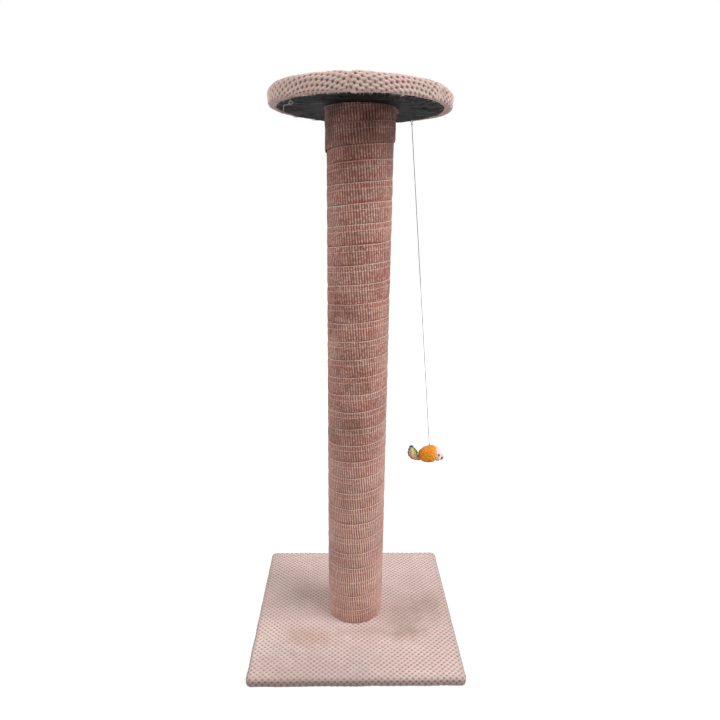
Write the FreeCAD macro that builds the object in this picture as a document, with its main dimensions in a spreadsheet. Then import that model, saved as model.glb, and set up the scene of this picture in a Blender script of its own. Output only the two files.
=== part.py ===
# Cat scratching post: a fabric-covered base board, a tall cardboard post wound with woven tape,
# a round padded platform on top, and a small plush toy that hangs on a string from the platform.
#
# Millimetres, +Z up.  The origin is the centre of the base's underside.  +X is to the right and
# -Y towards the front of the post.  Every driving size is in the sheet "Sizes"; heights are sums
# of the thicknesses of the pieces that stand on each other.

import FreeCAD
import Part
import Sketcher
import math
import os

from FreeCAD import Placement, Rotation, Vector

SIZES = (
    ("base_board_width", 394.5, "square base board, side to side"),
    ("base_board_thickness", 12.0, "base board"),
    ("base_board_corner", 8.0, "base board, corner radius in plan"),
    ("base_board_edge", 3.5, "base board, rounding of its top edges"),
    ("base_hem", 30.0, "base cover turned under the board, width of the hem"),
    ("base_liner_thickness", 1.0, "felt sheet under the base"),
    ("base_liner_inset", 10.0, "felt sheet, distance from the outside of the base"),
    ("cover_thickness", 2.5, "knitted plush fabric"),
    ("fit_gap", 0.25, "clearance between a cover and what it holds"),
    ("seat_gap", 0.3, "clearance between soft or curved neighbours"),
    ("post_length", 964.5, "cardboard post, end to end"),
    ("post_radius", 53.0, "cardboard post, outside"),
    ("post_wall", 5.0, "cardboard post, wall"),
    ("plug_thickness", 20.0, "wooden plugs in the ends of the post"),
    ("plug_chamfer", 1.5, "wooden plugs, chamfer of the inner rim"),
    ("nail_shank_radius", 0.9, "nails through the post into the plugs"),
    ("nail_head_radius", 2.5, "nails, head"),
    ("nail_head_thickness", 0.8, "nails, head"),
    ("nail_length", 18.0, "nails, head included"),
    ("nail_count", 6.0, "nails in each plug"),
    ("bolt_radius", 4.0, "M8 bolt and stud"),
    ("bolt_head_radius", 7.5, "bolt, low head"),
    ("bolt_head_height", 4.0, "bolt, low head"),
    ("bolt_socket_radius", 2.5, "bolt, six-sided key socket, to a corner"),
    ("bolt_socket_depth", 2.6, "bolt, key socket"),
    ("bolt_hole_radius", 4.5, "clearance hole of the bolt and the stud"),
    ("bolt_recess_radius", 15.0, "recess under the base board for the washer"),
    ("bolt_recess_depth", 6.5, "recess under the base board"),
    ("washer_radius", 12.0, "washer"),
    ("washer_thickness", 1.6, "washer"),
    ("thread_gap", 0.05, "thread clearance between a bolt and its nut"),
    ("nut_flange_radius", 11.0, "tee nut, flange"),
    ("nut_flange_thickness", 1.5, "tee nut, flange"),
    ("nut_barrel_radius", 5.2, "tee nut, barrel"),
    ("nut_barrel_length", 9.0, "tee nut, barrel"),
    ("thread_overhang", 2.9, "bolt and stud, end that stands past the tee nut in the post"),
    ("tape_thickness", 2.8, "woven tape on the post"),
    ("tape_turns", 24.0, "turns of the tape's solid"),
    ("tape_gap", 0.7, "gap between one turn and the next"),
    ("wrap_width", 32.0, "short second layer of tape at the top, width of its strip"),
    ("wrap_pitch", 32.7, "second layer, rise in one turn"),
    ("wrap_thickness", 2.4, "second layer"),
    ("wrap_turns", 2.25, "second layer, turns of its strip"),
    ("wrap_reach", 74.7, "second layer, from its lowest edge up to the end of the winding"),
    ("platform_board_radius", 147.0, "round platform board"),
    ("platform_board_thickness", 13.0, "platform board"),
    ("platform_board_edge", 4.0, "platform board, rounding of its lower edge"),
    ("platform_foam_thickness", 11.4, "foam pad on the platform board"),
    ("platform_top_edge", 12.0, "platform cover, rounding of its upper edge"),
    ("platform_bottom_edge", 6.0, "platform cover, rounding of its lower edge"),
    ("platform_hem", 16.0, "platform cover turned under, width of the hem"),
    ("platform_liner_thickness", 0.6, "black cloth under the platform board"),
    ("platform_liner_inset", 6.0, "black cloth, distance from the edge of the platform board"),
    ("staple_crown", 10.0, "staple, across its legs"),
    ("staple_leg", 7.0, "staple, length of a leg"),
    ("staple_wire", 0.8, "staple, square wire"),
    ("platform_staple_count", 20.0, "staples round the platform's hem"),
    ("base_staples_per_side", 5.0, "staples along each side of the base's hem"),
    ("base_staple_margin", 60.0, "first staple of a side, distance from the base's corner"),
    ("tape_staple_inset", 14.0, "staples of the tape's ends, distance from the post's end"),
    ("anchor_inset", 5.75, "string anchors, distance inside the platform's hem"),
    ("toy_anchor_angle", 43.0, "toy's anchor, angle from +X towards the back, degrees"),
    ("spare_anchor_angle", 213.0, "spare anchor, angle from +X, degrees"),
    ("anchor_drop", 3.2, "anchor staple, crown's depth under the platform's cloth"),
    ("anchor_wire_radius", 0.4, "anchor staple, round wire"),
    ("anchor_crown", 9.0, "anchor staple, across its legs"),
    ("anchor_leg", 10.0, "anchor staple, length of a leg"),
    ("string_diameter", 1.2, "string"),
    ("loop_inner_radius", 1.8, "string loop round the anchor staple, inside"),
    ("string_knot_radius", 2.0, "knots of the string"),
    ("string_reach", 630.0, "anchor to the knot on the toy, along the string"),
    ("string_lean", 5.6, "string, angle off plumb towards +X, degrees"),
    ("spare_string_length", 22.0, "short spare string at the other anchor"),
    ("toy_body_length", 36.0, "plush toy, body"),
    ("toy_body_radius", 18.0, "plush toy, body, at its widest"),
    ("toy_body_rear_radius", 6.5, "plush toy, body, where the tail is sewn on"),
    ("toy_neck_radius", 13.0, "plush toy, body, where the head begins"),
    ("toy_body_behind_string", 22.0, "plush toy, body behind the string"),
    ("toy_head_length", 20.0, "plush toy, head in front of the body"),
    ("toy_head_droop", 16.0, "plush toy, head, angle below level, degrees"),
    ("toy_snout_radius", 4.5, "plush toy, end of the head"),
    ("toy_nose_radius", 2.6, "plush toy, nose bead"),
    ("toy_eye_radius", 1.6, "plush toy, eye beads"),
    ("toy_tail_length", 26.0, "plush toy, cloth tail"),
    ("toy_tail_rise", 20.0, "plush toy, cloth tail, height of its tip over the body's axis"),
    ("toy_tail_thickness", 7.0, "plush toy, cloth tail"),
)

doc = FreeCAD.newDocument("scratching_post")
sheet = doc.addObject("Spreadsheet::Sheet", "Sizes")
for row, (alias, number, note) in enumerate(SIZES, start=1):
    sheet.set(f"A{row}", note)
    sheet.set(f"B{row}", str(number))
    sheet.setAlias(f"B{row}", alias)
doc.recompute()

# Heights, from the floor up.
BASE_BOARD_UNDER = "Sizes.base_liner_thickness + Sizes.cover_thickness"
BASE_BOARD_TOP = f"{BASE_BOARD_UNDER} + Sizes.base_board_thickness"
BASE_TOP = f"{BASE_BOARD_TOP} + Sizes.cover_thickness"
POST_TOP = f"{BASE_TOP} + Sizes.post_length"
PLATFORM_UNDER = f"{POST_TOP} - Sizes.cover_thickness"
PLATFORM_BOARD_UNDER = f"{POST_TOP} + Sizes.platform_liner_thickness"
PLATFORM_BOARD_TOP = f"{PLATFORM_BOARD_UNDER} + Sizes.platform_board_thickness"
FOAM_TOP = f"{PLATFORM_BOARD_TOP} + Sizes.platform_foam_thickness"
PLATFORM_TOP = f"{FOAM_TOP} + Sizes.cover_thickness"

# Widths that follow from what a cover goes round.
BASE_CAVITY = "Sizes.base_board_width + 2 * Sizes.fit_gap"
BASE_WIDTH = f"{BASE_CAVITY} + 2 * Sizes.cover_thickness"
PLATFORM_CAVITY = "Sizes.platform_board_radius + Sizes.fit_gap"
PLATFORM_RADIUS = f"{PLATFORM_CAVITY} + Sizes.cover_thickness"
POST_BORE = "Sizes.post_radius - Sizes.post_wall"
TAPE_RADIUS = "Sizes.post_radius + Sizes.seat_gap"
WRAP_RADIUS = f"{TAPE_RADIUS} + Sizes.tape_thickness + Sizes.seat_gap"
NUT_BORE = "Sizes.bolt_radius + Sizes.thread_gap"
NUT_HOLE = "Sizes.nut_barrel_radius + Sizes.fit_gap"
THREAD_REACH = "Sizes.plug_thickness + Sizes.nut_flange_thickness + Sizes.thread_overhang"

parts = []


def number_of(expression):
    """The value of an expression over the sheet's cells."""
    return float(sheet.evalExpression(expression))


def finish(piece, label):
    """Names a finished piece and lists it as a sub-part."""
    piece.Label = label
    parts.append(piece)
    return piece


def bind(item, **expressions):
    """Ties properties of an object to expressions; z stands for the height of its placement."""
    for name, expression in expressions.items():
        path = "Placement.Base.z" if name == "z" else name
        item.setExpression(path, expression)
    return item


def cylinder(radius, height, bottom):
    """A plain upright cylinder on the post's axis."""
    item = doc.addObject("Part::Cylinder", "cylinder")
    return bind(item, Radius=radius, Height=height, z=bottom)


def cut(base, *tools):
    """The base less every tool."""
    tool = tools[0]
    if len(tools) > 1:
        tool = doc.addObject("Part::MultiFuse", "tools")
        tool.Shapes = list(tools)
    item = doc.addObject("Part::Cut", "cut")
    item.Base = base
    item.Tool = tool
    return item


def outline(body, plane_role, points):
    """A closed sketch of straight lines; each corner's two coordinates are expressions."""
    sketch = body.newObject("Sketcher::SketchObject", "outline")
    planes = body.Origin.OriginFeatures
    plane = next(item for item in planes if item.Role == plane_role)
    sketch.AttachmentSupport = [(plane, "")]
    sketch.MapMode = "FlatFace"
    values = [Vector(number_of(x), number_of(y), 0) for x, y in points]
    ends = values[1:] + values[:1]
    for start, end in zip(values, ends):
        sketch.addGeometry(Part.LineSegment(start, end), False)
    count = len(points)
    for index in range(count):
        following = (index + 1) % count
        sketch.addConstraint(Sketcher.Constraint("Coincident", index, 2, following, 1))
    for index, (across, along) in enumerate(points):
        for kind, expression in (("DistanceX", across), ("DistanceY", along)):
            value = number_of(expression)
            place = sketch.addConstraint(Sketcher.Constraint(kind, -1, 1, index, 1, value))
            sketch.setExpression(f"Constraints[{place}]", expression)
    return sketch


def edge_names(shape, wanted):
    """The names of the edges of a shape for which wanted(edge) is true."""
    return [f"Edge{i}" for i, edge in enumerate(shape.Edges, start=1) if wanted(edge)]


def rounded(body, radius, wanted):
    """Rounds the chosen edges of a body's last feature."""
    doc.recompute()
    last = body.Tip
    fillet = body.newObject("PartDesign::Fillet", "rounding")
    fillet.Base = (last, edge_names(last.Shape, wanted))
    return bind(fillet, Radius=radius)


def turned(profile):
    """A body turned about the post's axis; the profile's corners are (radius, height)."""
    body = doc.addObject("PartDesign::Body", "turned")
    sketch = outline(body, "XZ_Plane", profile)
    turn = body.newObject("PartDesign::Revolution", "turn")
    turn.Profile = sketch
    turn.ReferenceAxis = (sketch, ["V_Axis"])
    turn.Angle = 360.0
    return body


def ring(inner, outer, bottom, top):
    """A turned ring, or a disc where the inner radius is 0."""
    return turned(((inner, bottom), (outer, bottom), (outer, top), (inner, top)))


def circle_at(radius, height):
    """Tells whether an edge is the circle of that radius at that height."""
    def wanted(edge):
        is_circle = isinstance(edge.Curve, Part.Circle)
        if not is_circle:
            return False
        same_radius = abs(edge.Curve.Radius - number_of(radius)) < 0.01
        return same_radius and abs(edge.Curve.Center.z - number_of(height)) < 0.01
    return wanted


def slab(width, thickness, bottom):
    """A square slab, centred on the post's axis."""
    body = doc.addObject("PartDesign::Body", "slab")
    half = f"({width}) / 2"
    minus = f"-({width}) / 2"
    corners = ((minus, minus), (half, minus), (half, half), (minus, half))
    sketch = outline(body, "XY_Plane", corners)
    pad = body.newObject("PartDesign::Pad", "pad")
    pad.Profile = sketch
    bind(pad, Length=thickness)
    return bind(body, z=bottom)


def upright(edge):
    """Tells whether an edge is a straight vertical line."""
    first = edge.Vertexes[0].Point
    last = edge.Vertexes[-1].Point
    return (first - last).Length > 0.1 and abs(first.x - last.x) + abs(first.y - last.y) < 0.01


def edges_at(height):
    """Tells whether an edge lies level at a height of the body's own frame."""
    def wanted(edge):
        return all(abs(corner.Point.z - height) < 0.01 for corner in edge.Vertexes)
    return wanted


def rounded_slab(width, thickness, bottom, corner, edge):
    """A slab with round corners in plan and a rounded upper edge."""
    body = slab(width, thickness, bottom)
    rounded(body, corner, upright)
    rounded(body, edge, edges_at(number_of(thickness)))
    return body


# ---- Base -------------------------------------------------------------------------------------

def make_base():
    """Board, fabric cover with its hem, and the felt sheet that stands on the floor."""
    board = rounded_slab("Sizes.base_board_width", "Sizes.base_board_thickness", BASE_BOARD_UNDER,
                         "Sizes.base_board_corner", "Sizes.base_board_edge")
    bolt_hole = cylinder("Sizes.bolt_hole_radius", "Sizes.base_board_thickness", BASE_BOARD_UNDER)
    recess = cylinder("Sizes.bolt_recess_radius", "Sizes.bolt_recess_depth", BASE_BOARD_UNDER)
    finish(cut(board, bolt_hole, recess), "base_board")

    outside = rounded_slab(BASE_WIDTH, "Sizes.base_board_thickness + 2 * Sizes.cover_thickness",
                           "Sizes.base_liner_thickness",
                           "Sizes.base_board_corner + Sizes.cover_thickness",
                           "Sizes.base_board_edge + Sizes.cover_thickness")
    cavity = rounded_slab(BASE_CAVITY, "Sizes.base_board_thickness", BASE_BOARD_UNDER,
                          "Sizes.base_board_corner", "Sizes.base_board_edge")
    mouth = slab(f"{BASE_WIDTH} - 2 * Sizes.base_hem", "Sizes.cover_thickness",
                 "Sizes.base_liner_thickness")
    cover_hole = cylinder("Sizes.bolt_hole_radius", "Sizes.cover_thickness", BASE_BOARD_TOP)
    finish(cut(outside, cavity, mouth, cover_hole), "base_cover")

    felt = slab(f"{BASE_WIDTH} - 2 * Sizes.base_liner_inset", "Sizes.base_liner_thickness", "0")
    rounded(felt, "Sizes.base_board_corner", upright)
    access = cylinder("Sizes.bolt_recess_radius", "Sizes.base_liner_thickness", "0")
    finish(cut(felt, access), "base_liner")


# ---- Post -------------------------------------------------------------------------------------

def plug_profile(outer_end, inner_end, outer_rim):
    """A plug's section: the hole for the tee nut, and a chamfer at the end inside the post."""
    radius = f"{POST_BORE} - Sizes.fit_gap"
    return ((NUT_HOLE, outer_end), (radius, outer_end), (radius, outer_rim),
            (f"{radius} - Sizes.plug_chamfer", inner_end), (NUT_HOLE, inner_end))


def nail_ring(height):
    """Nails driven level through the post into a plug, evenly round it, heads sunk flush."""
    body = doc.addObject("PartDesign::Body", "nails")
    body.AllowCompound = True
    level = Rotation(Vector(0, 1, 0), -90)
    shank = body.newObject("PartDesign::AdditiveCylinder", "shank")
    shank.Placement = Placement(Vector(number_of("Sizes.post_radius"), 0, 0), level)
    bind(shank, Radius="Sizes.nail_shank_radius", Height="Sizes.nail_length")
    shank.setExpression("Placement.Base.x", "Sizes.post_radius")
    head = body.newObject("PartDesign::AdditiveCylinder", "head")
    head.Placement = shank.Placement
    bind(head, Radius="Sizes.nail_head_radius", Height="Sizes.nail_head_thickness")
    head.setExpression("Placement.Base.x", "Sizes.post_radius")
    doc.recompute()
    pattern = body.newObject("PartDesign::PolarPattern", "round_the_post")
    axis = next(item for item in body.Origin.OriginFeatures if item.Role == "Z_Axis")
    pattern.Originals = [shank, head]
    pattern.Axis = (axis, [""])
    pattern.Angle = 360.0
    bind(pattern, Occurrences="Sizes.nail_count")
    body.Tip = pattern
    return bind(body, z=height)


def make_post():
    """Cardboard tube with a wooden plug nailed into each end."""
    finish(ring(POST_BORE, "Sizes.post_radius", BASE_TOP, POST_TOP), "post_tube")
    low_end = f"{BASE_TOP} + Sizes.plug_thickness"
    low_rim = f"{low_end} - Sizes.plug_chamfer"
    finish(turned(plug_profile(BASE_TOP, low_end, low_rim)), "bottom_plug")
    high_end = f"{POST_TOP} - Sizes.plug_thickness"
    high_rim = f"{high_end} + Sizes.plug_chamfer"
    finish(turned(plug_profile(POST_TOP, high_end, high_rim)), "top_plug")
    finish(nail_ring(f"{BASE_TOP} + Sizes.plug_thickness / 2"), "bottom_plug_nails")
    finish(nail_ring(f"{POST_TOP} - Sizes.plug_thickness / 2"), "top_plug_nails")


def tee_nut(flange_face, away, label):
    """A tee nut: its flange lies on a face, its barrel reaches into the hole below or above."""
    flange_end = f"{flange_face} + ({away}) * Sizes.nut_flange_thickness"
    barrel_end = f"{flange_face} - ({away}) * Sizes.nut_barrel_length"
    profile = ((NUT_BORE, flange_end), ("Sizes.nut_flange_radius", flange_end),
               ("Sizes.nut_flange_radius", flange_face), ("Sizes.nut_barrel_radius", flange_face),
               ("Sizes.nut_barrel_radius", barrel_end), (NUT_BORE, barrel_end))
    finish(turned(profile), label)


def make_fasteners():
    """The bolt that holds the base, the stud that holds the platform, and their nuts."""
    tee_nut(f"{BASE_TOP} + Sizes.plug_thickness", "1", "base_tee_nut")
    tee_nut(f"{POST_TOP} - Sizes.plug_thickness", "-1", "post_top_tee_nut")
    tee_nut(PLATFORM_BOARD_TOP, "1", "platform_tee_nut")

    washer_under = f"{BASE_BOARD_UNDER} + Sizes.bolt_recess_depth - Sizes.washer_thickness"
    washer_top = f"{BASE_BOARD_UNDER} + Sizes.bolt_recess_depth"
    finish(ring("Sizes.bolt_hole_radius", "Sizes.washer_radius", washer_under, washer_top),
           "base_washer")

    head_under = f"{washer_under} - Sizes.bolt_head_height"
    tip = f"{BASE_TOP} + {THREAD_REACH}"
    bolt = turned((("0", head_under), ("Sizes.bolt_head_radius", head_under),
                   ("Sizes.bolt_head_radius", washer_under), ("Sizes.bolt_radius", washer_under),
                   ("Sizes.bolt_radius", tip), ("0", tip)))
    key_socket = doc.addObject("Part::Prism", "key_socket")
    key_socket.Polygon = 6
    bind(key_socket, Circumradius="Sizes.bolt_socket_radius", Height="Sizes.bolt_socket_depth",
         z=head_under)
    finish(cut(bolt, key_socket), "base_bolt")

    stud_bottom = f"{POST_TOP} - ({THREAD_REACH})"
    finish(ring("0", "Sizes.bolt_radius", stud_bottom, PLATFORM_BOARD_TOP), "platform_stud")


# ---- Platform ---------------------------------------------------------------------------------

def make_platform():
    """Round board, foam pad, fabric cover turned under, and the black cloth below."""
    board = ring(NUT_HOLE, "Sizes.platform_board_radius", PLATFORM_BOARD_UNDER, PLATFORM_BOARD_TOP)
    rounded(board, "Sizes.platform_board_edge",
            circle_at("Sizes.platform_board_radius", PLATFORM_BOARD_UNDER))
    finish(board, "platform_board")

    foam = ring("0", "Sizes.platform_board_radius", PLATFORM_BOARD_TOP, FOAM_TOP)
    inner_edge = "Sizes.platform_top_edge - Sizes.cover_thickness"
    rounded(foam, inner_edge, circle_at("Sizes.platform_board_radius", FOAM_TOP))
    flange = cylinder("Sizes.nut_flange_radius + Sizes.fit_gap",
                      "Sizes.nut_flange_thickness + Sizes.fit_gap", PLATFORM_BOARD_TOP)
    finish(cut(foam, flange), "platform_foam")

    hem_radius = f"{PLATFORM_RADIUS} - Sizes.platform_hem"
    cover = turned(((hem_radius, PLATFORM_UNDER), (PLATFORM_RADIUS, PLATFORM_UNDER),
                    (PLATFORM_RADIUS, PLATFORM_TOP), ("0", PLATFORM_TOP), ("0", FOAM_TOP),
                    (PLATFORM_CAVITY, FOAM_TOP), (PLATFORM_CAVITY, POST_TOP),
                    (hem_radius, POST_TOP)))
    rounded(cover, "Sizes.platform_top_edge", circle_at(PLATFORM_RADIUS, PLATFORM_TOP))
    rounded(cover, inner_edge, circle_at(PLATFORM_CAVITY, FOAM_TOP))
    rounded(cover, "Sizes.platform_bottom_edge", circle_at(PLATFORM_RADIUS, PLATFORM_UNDER))
    rounded(cover, "Sizes.platform_bottom_edge - Sizes.cover_thickness",
            circle_at(PLATFORM_CAVITY, POST_TOP))
    finish(cover, "platform_cover")

    liner_radius = "Sizes.platform_board_radius - Sizes.platform_liner_inset"
    finish(ring(NUT_HOLE, liner_radius, POST_TOP, PLATFORM_BOARD_UNDER), "platform_liner")


# ---- Tape wound on the post -------------------------------------------------------------------

HALF_PI = math.pi / 2


def helix_point(radius, pitch, angle, height):
    """A point of the right-handed helix that starts at angle 0 and this height."""
    rise = pitch * angle / (2 * math.pi)
    return Vector(radius * math.cos(angle), radius * math.sin(angle), height + rise)


def helix_direction(radius, pitch, angle):
    """The helix's direction of travel at an angle."""
    along = Vector(-radius * math.sin(angle), radius * math.cos(angle), pitch / (2 * math.pi))
    return along.normalize()


def tangent_arc(start, direction, end):
    """The arc that leaves start in a direction and ends at end."""
    chord = end - start
    across = chord - direction * chord.dot(direction)
    across.normalize()
    half_turn = math.acos(direction.dot(chord) / chord.Length)
    radius = chord.Length / (2 * math.sin(half_turn))
    centre = start + across * radius
    outwards = (start + end) * 0.5 - centre
    outwards.normalize()
    return Part.Arc(start, centre + outwards * radius, end).toShape()


def biarc(radius, pitch, angle, step, height):
    """Two tangent arcs that follow the helix through one step of its angle."""
    start = helix_point(radius, pitch, angle, height)
    end = helix_point(radius, pitch, angle + step, height)
    leaving = helix_direction(radius, pitch, angle)
    arriving = helix_direction(radius, pitch, angle + step)
    chord = end - start
    spread = 2 * (leaving.dot(arriving) - 1)
    slope = -2 * chord.dot(leaving + arriving)
    reach = (-slope - math.sqrt(slope ** 2 - 4 * spread * chord.dot(chord))) / (2 * spread)
    joint = (start + leaving * reach + end - arriving * reach) * 0.5
    return [tangent_arc(start, leaving, joint), tangent_arc(end, arriving * -1, joint)]


def wound_tape(inner_radius, width, thickness, pitch, turns, bottom, first_angle):
    """One unbroken strip of tape, wound on a helix; its outer face is crowned."""
    shoulder = 0.55 * thickness
    crown_inset = 0.06 * width
    section = ((0, crown_inset / 4), (0, width - crown_inset / 4), (shoulder, width),
               (thickness, width - crown_inset), (thickness, crown_inset), (shoulder, 0))
    quarters = int(round(turns * 4))
    rails = []
    for depth, up in section:
        rail = []
        for quarter in range(quarters):
            rail += biarc(inner_radius + depth, pitch, quarter * HALF_PI, HALF_PI, bottom + up)
        rails.append(rail)
    faces = []
    for rail, following in zip(rails, rails[1:] + rails[:1]):
        faces += [Part.makeRuledSurface(one, other) for one, other in zip(rail, following)]
    for turn in (0, turns * 2 * math.pi):
        rim = [helix_point(inner_radius + depth, pitch, turn, bottom + up) for depth, up in section]
        faces.append(Part.Face(Part.makePolygon(rim + rim[:1])))
    shell = Part.Shell(faces)
    shell.sewShape()
    strip = Part.Solid(shell)
    if strip.Volume < 0:
        strip.reverse()
    strip.rotate(Vector(0, 0, 0), Vector(0, 0, 1), first_angle)
    return strip, rails


def gap_between_turns(rails):
    """The least distance from the upper edge of one turn to the lower edge of the next."""
    upper = [edge.valueAt(edge.LastParameter) for edge in rails[2]]
    lower = [edge.valueAt(edge.LastParameter) for edge in rails[5]]
    edges_per_turn = 8
    nearest = []
    for index in range(len(upper) - edges_per_turn):
        window = lower[index + edges_per_turn - 1:index + edges_per_turn + 2]
        nearest += [(upper[index] - point).Length for point in window]
    return min(nearest)


def tape_piece(strip, bottom, top, label):
    """A wound strip trimmed level between two heights."""
    reach = 2 * number_of(WRAP_RADIUS)
    between_ends = Part.makeBox(2 * reach, 2 * reach, top - bottom, Vector(-reach, -reach, bottom))
    piece = doc.addObject("Part::Feature", "tape")
    piece.Shape = strip.common(between_ends)
    finish(piece, label)


def make_tape():
    """The winding over the whole post, and the short second layer on its upper end."""
    turns = number_of("Sizes.tape_turns")
    bottom = number_of(f"{BASE_TOP} + Sizes.seat_gap")
    top = number_of(f"{POST_TOP} - Sizes.seat_gap")
    gap = number_of("Sizes.tape_gap")
    pitch = (top - bottom) / (turns - 1)
    strip, rails = wound_tape(number_of(TAPE_RADIUS), pitch - gap, number_of("Sizes.tape_thickness"),
                              pitch, turns, bottom - pitch, 0)
    print("tape: turns", turns, "pitch", round(pitch, 3), "least gap", gap_between_turns(rails))
    tape_piece(strip, bottom, top, "post_winding")

    wrap_bottom = top - number_of("Sizes.wrap_reach")
    strip, rails = wound_tape(number_of(WRAP_RADIUS), number_of("Sizes.wrap_width"),
                              number_of("Sizes.wrap_thickness"), number_of("Sizes.wrap_pitch"),
                              number_of("Sizes.wrap_turns"), wrap_bottom, 90)
    print("second layer: least gap", gap_between_turns(rails))
    tape_piece(strip, wrap_bottom, top, "top_wrap")


# ---- Staples ----------------------------------------------------------------------------------

def staple_shape():
    """A staple whose crown lies on the plane z = 0, with its legs pointing up."""
    crown = number_of("Sizes.staple_crown")
    wire = number_of("Sizes.staple_wire")
    leg = number_of("Sizes.staple_leg")
    bridge = Part.makeBox(crown, wire, wire, Vector(-crown / 2, -wire / 2, 0))
    left = Part.makeBox(wire, wire, leg, Vector(-crown / 2, -wire / 2, 0))
    right = Part.makeBox(wire, wire, leg, Vector(crown / 2 - wire, -wire / 2, 0))
    return bridge.fuse([left, right]).removeSplitter()


def staple_group(places, label):
    """A group of like staples, one at each placement."""
    shapes = []
    for place in places:
        shape = staple_shape()
        shape.Placement = place
        shapes.append(shape)
    group = doc.addObject("Part::Feature", "staples")
    group.Shape = Part.makeCompound(shapes)
    finish(group, label)


def radial_staple(face_radius, height, angle):
    """The place of a staple driven level into the post, its crown upright and flush."""
    turn = math.radians(angle)
    outwards = Vector(math.cos(turn), math.sin(turn), 0)
    sideways = Vector(math.sin(turn), -math.cos(turn), 0)
    upwards = Vector(0, 0, 1)
    return Placement(outwards * face_radius + upwards * height,
                     Rotation(upwards, sideways, outwards * -1, "ZXY"))


def make_staples():
    """Staples of both hems and of the tape's ends."""
    up = Vector(0, 0, 1)
    count = int(number_of("Sizes.platform_staple_count"))
    middle = number_of(f"{PLATFORM_RADIUS} - Sizes.platform_hem * 0.6")
    under = number_of(PLATFORM_UNDER)
    places = []
    for index in range(count):
        turn = Rotation(up, 360 * index / count)
        spot = turn.multVec(Vector(0, -middle, 0))
        places.append(Placement(Vector(spot.x, spot.y, under), turn))
    staple_group(places, "platform_staples")

    per_side = int(number_of("Sizes.base_staples_per_side"))
    pitch = number_of(f"({BASE_WIDTH} - 2 * Sizes.base_staple_margin)") / (per_side - 1)
    row = number_of(f"({BASE_WIDTH}) / 2 - Sizes.base_hem * 0.6")
    floor_side = number_of("Sizes.base_liner_thickness")
    places = []
    for side in range(4):
        turn = Rotation(up, 90 * side)
        for index in range(per_side):
            along = (index - (per_side - 1) / 2) * pitch
            spot = turn.multVec(Vector(along, -row, floor_side))
            places.append(Placement(spot, turn))
    staple_group(places, "base_staples")

    wrap_face = number_of(f"{WRAP_RADIUS} + Sizes.wrap_thickness")
    tape_face = number_of(f"{TAPE_RADIUS} + Sizes.tape_thickness")
    inset = number_of("Sizes.tape_staple_inset")
    low = number_of(BASE_TOP) + inset
    high = number_of(POST_TOP) - inset
    places = [radial_staple(tape_face, low, 24), radial_staple(tape_face, low, 36),
              radial_staple(wrap_face, high, 128), radial_staple(wrap_face, high, 140)]
    staple_group(places, "tape_staples")


# ---- String, its anchors and the toy ----------------------------------------------------------

def anchor_point(angle):
    """The middle of an anchor staple's crown."""
    radius = number_of(f"{PLATFORM_RADIUS} - Sizes.platform_hem - Sizes.anchor_inset")
    turn = math.radians(number_of(angle))
    height = number_of(f"{POST_TOP} - Sizes.anchor_drop")
    return Vector(radius * math.cos(turn), radius * math.sin(turn), height)


def anchor_staple(middle, label):
    """A round-wire staple left standing proud, so that its crown carries the string's loop."""
    wire = number_of("Sizes.anchor_wire_radius")
    half = number_of("Sizes.anchor_crown / 2")
    leg = number_of("Sizes.anchor_leg")
    bend = wire * 3
    lean = bend * (1 - math.sqrt(0.5))
    corners = (Vector(0, -half, leg), Vector(0, -half, bend), Vector(0, -half + bend, 0),
               Vector(0, half - bend, 0), Vector(0, half, bend), Vector(0, half, leg))
    first_bend = Part.Arc(corners[1], Vector(0, -half + lean, lean), corners[2])
    second_bend = Part.Arc(corners[3], Vector(0, half - lean, lean), corners[4])
    path = Part.Wire([Part.LineSegment(corners[0], corners[1]).toShape(), first_bend.toShape(),
                      Part.LineSegment(corners[2], corners[3]).toShape(), second_bend.toShape(),
                      Part.LineSegment(corners[4], corners[5]).toShape()])
    section = Part.Wire([Part.Circle(corners[0], Vector(0, 0, 1), wire).toShape()])
    staple = doc.addObject("Part::Feature", "anchor")
    staple.Shape = path.makePipeShell([section], True, False)
    staple.Placement = Placement(middle, Rotation())
    finish(staple, label)


def hanging_direction():
    """The direction in which the string hangs."""
    lean = math.radians(number_of("Sizes.string_lean"))
    return Vector(math.sin(lean), 0, -math.cos(lean))


def placed_sphere(radius, centre):
    """A ball with its radius tied to the sheet."""
    ball = doc.addObject("Part::Sphere", "ball")
    ball.Placement = Placement(centre, Rotation())
    return bind(ball, Radius=radius)


def string_run(start, direction, length):
    """A straight stretch of string."""
    run = doc.addObject("Part::Cylinder", "run")
    run.Placement = Placement(start, Rotation(Vector(0, 0, 1), direction))
    run.Height = length
    return bind(run, Radius="Sizes.string_diameter / 2")


def string_loop(middle, direction):
    """A ring of string that hangs on the crown of the anchor staple."""
    gap = number_of("Sizes.seat_gap")
    inner = number_of("Sizes.loop_inner_radius")
    centre = middle + direction * (inner - number_of("Sizes.anchor_wire_radius") - gap)
    loop = doc.addObject("Part::Torus", "loop")
    loop.Placement = Placement(centre, Rotation(Vector(0, 0, 1), Vector(0, 1, 0)))
    bind(loop, Radius1="Sizes.loop_inner_radius + Sizes.string_diameter / 2",
         Radius2="Sizes.string_diameter / 2")
    return loop, centre + direction * (inner + number_of("Sizes.string_diameter"))


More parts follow.
